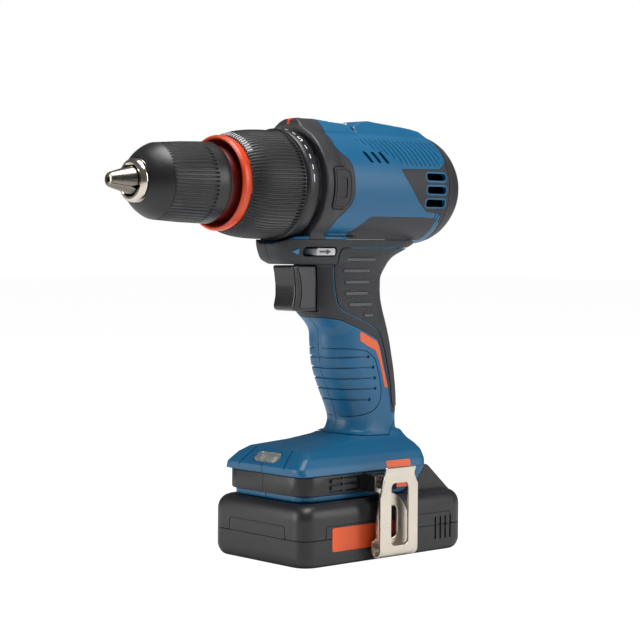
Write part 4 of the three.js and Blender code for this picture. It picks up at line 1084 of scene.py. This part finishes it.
def belt_clip():
    sheet = slab_y(clip_section(), -14.5, 13.4)
    trims = [
        slab_x(rounded([(-4, 60), (-4, 37), (1.4, 35.6), (5.9, 33), (10.5, 26.7), (12, 23), (11, 12),
                        (20, 9), (20, 60)], 2), 39, 43),
        slab_x(rounded([(-20, 60), (-20, 9), (-11.5, 12), (-11, 25), (-9, 33), (-9.5, 36.5), (-12.6, 37.5),
                        (-12.6, 60)], 1.2), 39, 43),
        slab_x(stadium(-2.6, 3.4, 12, 29), 39, 43),
        slab_x(rounded([(-6.4, 8.5), (6.4, 8.5), (6.4, 42), (-6.4, 42)], 3.4, 10), 43, 55),
        pin_x(2, 39, 43, -8, 41.6),
        slab_x([(10.6, 60), (10.6, 46), (13.8, 40), (20, 40), (20, 60)], 43, 55),
        slab_x([(-30, 60), (-30, 34), (-14.8, 34), (-11, 46.4), (-11, 60)], 43, 55),
    ]
    kept(softened(cut(sheet, *trims), 0.3, 3), "folded_clip", "housing", nickel, ["belt_clip"])


def clip_screw():
    head = joined(pin_x(3.1, 42.1, 43.6, -8, 41.6, 48), pin_x(1.6, 28, 42.3, -8, 41.6, 32))
    cross = [slab_x([(-8 - a, 41.6 - b), (-8 + a, 41.6 - b), (-8 + a, 41.6 + b), (-8 - a, 41.6 + b)],
                    42.7, 45) for a, b in ((2.1, 0.45), (0.45, 2.1))]
    kept(cut(head, *cross), "clip_fastener", "housing", dark_steel, ["clip_screw"])


def foot_badge():
    """A blank orange plate on the side of the foot, behind the clip."""
    outline = rounded([(5, 36.9), (21, 36.9), (23.5, 51.6), (5, 51.6)], 1.6)
    skin = stack([box_ring(33.4, -57, 30, 32.2, 9), box_ring(47, -57, 35.6, 32.55, 9),
                  box_ring(53, -56, 36.8, 30.8, 9)])
    core = stack([box_ring(33.2, -57, 30, 31.5, 9), box_ring(47, -57, 35.6, 31.7, 9),
                  box_ring(53.5, -56, 36.8, 29.6, 9)])
    plate = shared(slab_x(outline, 20, 60), cut(skin, core))
    kept(plate, "side_badge", "housing", accent_orange)


# ---------------------------------------------------------------- battery
EDGE = [(0, 2.5), (0.8, 1.6), (4.5, 0.15), (5.6, 0), (24, 0), (27, 0.25), (29.4, 1.0), (31.2, 2.2),
        (32.4, 3.8), (33, 6)]


def pack_form(low, high):
    rows = smooth_rows(EDGE, 0.5)
    rows = rows[(rows[:, 0] > low) & (rows[:, 0] < high)]
    backs = [(low, np.interp(low, *np.array(EDGE).T)), *rows, (high, np.interp(high, *np.array(EDGE).T))]
    return stack([box_ring(z, -60 + b, 60 - b, 38 - b, 8) for z, b in backs])


def parting_grooves():
    """The line where the two halves of the case meet, stepping up round the middle of each face."""
    front = ribbon([(-50, 14.5), (-24, 14.5), (-22.6, 15.6), (-22.6, 20.2), (-21.4, 21.4), (21.4, 21.4),
                    (22.6, 20.2), (22.6, 15.6), (24, 14.5), (50, 14.5)], 0.45)
    side = ribbon([(-70, 14.5), (-46, 14.5), (-44.4, 15.8), (-44.4, 20), (-43, 21.4), (47, 21.4),
                   (48.4, 20), (48.4, 15.8), (50, 14.5), (70, 14.5)], 0.45)
    core = stack([box_ring(z, -59.4, 59.4, 37.4, 8) for z in (10, 25)])
    lines = [slab_y(front, -62, -40), slab_y(front, 40, 62), slab_x(side, 20, 40), slab_x(side, -40, -20)]
    return [cut(line, core) for line in lines]


def battery():
    room = stack([box_ring(z, -57, 57, 35, 6) for z in (2.5, 30.5)])
    label_area = rounded([(-40, 7.6), (10, 7.6), (10, 20.2), (-40, 20.2)], 1.2)
    ribs = [slab_x(stadium(y - 0.6, y + 0.6, 6.5, 19.2), -45, 45) for y in (36.8, 40.7, 44.6, 48.5)]
    rib_core = stack([box_ring(z, -59, 59, 36.9, 8) for z in (2, 25)])
    whole = cut(pack_form(0, 33), room, *[cut(rib, rib_core) for rib in ribs])
    label_room = slab_x(grown(label_area, 0.12), 37.65, 45)
    whole = cut(whole, *parting_grooves(), label_room)
    low = shared(whole, box(-60, 60, -80, 80, -1, PARTING - 0.15))
    high = shared(whole, box(-60, 60, -80, 80, PARTING + 0.15, 40))
    kept(low, "case_bottom", "battery", charcoal_case, ["battery_lower_case"])
    top = cut(joined(high, tower()), tilted_back(11.3, 6.3, -6, 3))
    kept(top, "case_top", "battery", charcoal_case, ["battery_upper_case"])
    kept(slab_x(label_area, 37.7, 38.06), "rating_label", "battery", label)


def tower():
    """The slide that the foot runs along, and the ramp behind it with the latch."""
    ramp = slab_x(rounded([(20, 32), (56.4, 32), (39.8, 46.6), (37.8, 47.6), (28, 35), (20, 33.2)], 1),
                  -29, 29)
    block = joined(box(-25, 25, -30, 30, 32, 46.5), box(-25, 25, 28, 37, 32, 46.5), ramp)
    rails = [box(a, b, -60, 26, 36.5, 39.7) for a, b in ((22.5, 40), (-40, -22.5))]
    contacts = [box(x - 1.4, x + 1.4, -31, -20, 39, 45.2) for x in (-10, 0, 10)]
    return cut(block, *rails, *contacts, box(-20, 20, -18, 24, 29, 44))


def tilted_back(wide, long, low, high):
    outline = rounded([(-wide, -long), (wide, -long), (wide, long), (-wide, long)], 1.4)
    shape = stack([[(x, v, z) for x, v in outline] for z in (low, high)])
    tilt = math.atan2(46.8 - 33, 56 - 39.6)
    shape.data.transform(Matrix.Translation((0, 48.4, 39.3)) @ Matrix.Rotation(-tilt, 4, "X"))
    return shape


def latch():
    kept(softened(tilted_back(11, 6, -2.6, 0.9), 0.35, 3), "latch_button", "release_button", black,
         ["release_button"])


# ---------------------------------------------------------------- the remaining parts
def inner_parts():
    for finish, starts in INNER_FINISHES.items():
        for name, part in frame["nodes"].items():
            if any(name.startswith(start) for start in starts):
                part.data.materials.clear()
                part.data.materials.append(finish)


# ---------------------------------------------------------------- studio
def floor():
    size = 6.0
    mesh = bpy.data.meshes.new("floor")
    mesh.from_pydata([(-size, -size, 0), (size, -size, 0), (size, size, 0), (-size, size, 0)], [],
                     [(0, 1, 2, 3)])
    ground = bpy.data.objects.new("floor", mesh)
    mesh.materials.append(overlit(moulded("white paper", (252, 252, 252), 0.9, grain=2)))
    bpy.context.scene.collection.objects.link(ground)


PAPER_GLOW = 0.84  # share of the floor's own shadows that is washed out to the eye


def overlit(material):
    """Makes a surface look nearly burnt out, as white paper does, with only a trace of shadow."""
    tree = material.node_tree
    output = tree.nodes["Material Output"].inputs["Surface"]
    paper = Wire(tree, output.links[0].from_socket)
    glow = added(tree, "Emission", Strength=1.15)
    mix = added(tree, "MixShader", Fac=added(tree, "LightPath") * PAPER_GLOW)
    fed(tree, mix.socket.node.inputs[1], paper)
    fed(tree, mix.socket.node.inputs[2], glow)
    fed(tree, output, mix)
    return material


def lamp_at(name, place, size, power, target=(0, -0.03, 0.13)):
    light = bpy.data.lights.new(name, "AREA")
    light.shape = "RECTANGLE"
    light.size, light.size_y = size
    light.energy = power
    holder = bpy.data.objects.new(name, light)
    holder.location = place
    aim = Vector(target) - Vector(place)
    holder.rotation_euler = aim.to_track_quat("-Z", "Y").to_euler()
    bpy.context.scene.collection.objects.link(holder)


def camera():
    lens_data = bpy.data.cameras.new("camera")
    lens_data.lens = 103.94
    lens_data.sensor_width = 36
    holder = bpy.data.objects.new("camera", lens_data)
    yaw, pitch, roll = map(math.radians, (47.96, 2.46, 0.393))
    ahead = Vector((-math.sin(yaw) * math.cos(pitch), math.cos(yaw) * math.cos(pitch), -math.sin(pitch)))
    right = Vector((math.cos(yaw), math.sin(yaw), 0))
    up = right.cross(ahead)
    across = right * math.cos(roll) + up * math.sin(roll)
    above = up * math.cos(roll) - right * math.sin(roll)
    turn = Matrix((across, above, -ahead)).transposed().to_4x4()
    holder.matrix_world = Matrix.Translation((0.747, -0.6891, 0.1706)) @ turn
    bpy.context.scene.collection.objects.link(holder)
    bpy.context.scene.camera = holder


ROOM_LIGHT = 0.12  # how bright the white room is as a light; it looks pure white behind the drill


def surroundings():
    world = bpy.data.worlds.new("white room")
    world.use_nodes = True
    tree = world.node_tree
    sky = tree.nodes["Background"]
    fed(tree, sky.inputs["Strength"], added(tree, "LightPath") * (1 - ROOM_LIGHT) + ROOM_LIGHT)
    sky.inputs["Color"].default_value = (1, 1, 1, 1)
    bpy.context.scene.world = world
    bpy.context.scene.view_settings.view_transform = "Standard"


housing()
trigger()
selector()
speed_slider()
chuck_sleeve()
nose()
jaws()
chuck_core()
mode_ring()
torque_collar()
dial()
ticks()
foot_band()
belt_clip()
clip_screw()
foot_badge()
battery()
latch()
inner_parts()
for leftover in list(workshop.objects):
    bpy.data.objects.remove(leftover)
bpy.data.collections.remove(workshop)
floor()
camera()
surroundings()
lamp_at("left", (-0.7, -1.2, 0.4), (0.25, 0.9), 9)
lamp_at("top", (0.15, -0.05, 1.25), (0.6, 0.9), 18)
lamp_at("right", (1.15, 0.75, 0.55), (0.25, 0.8), 7)
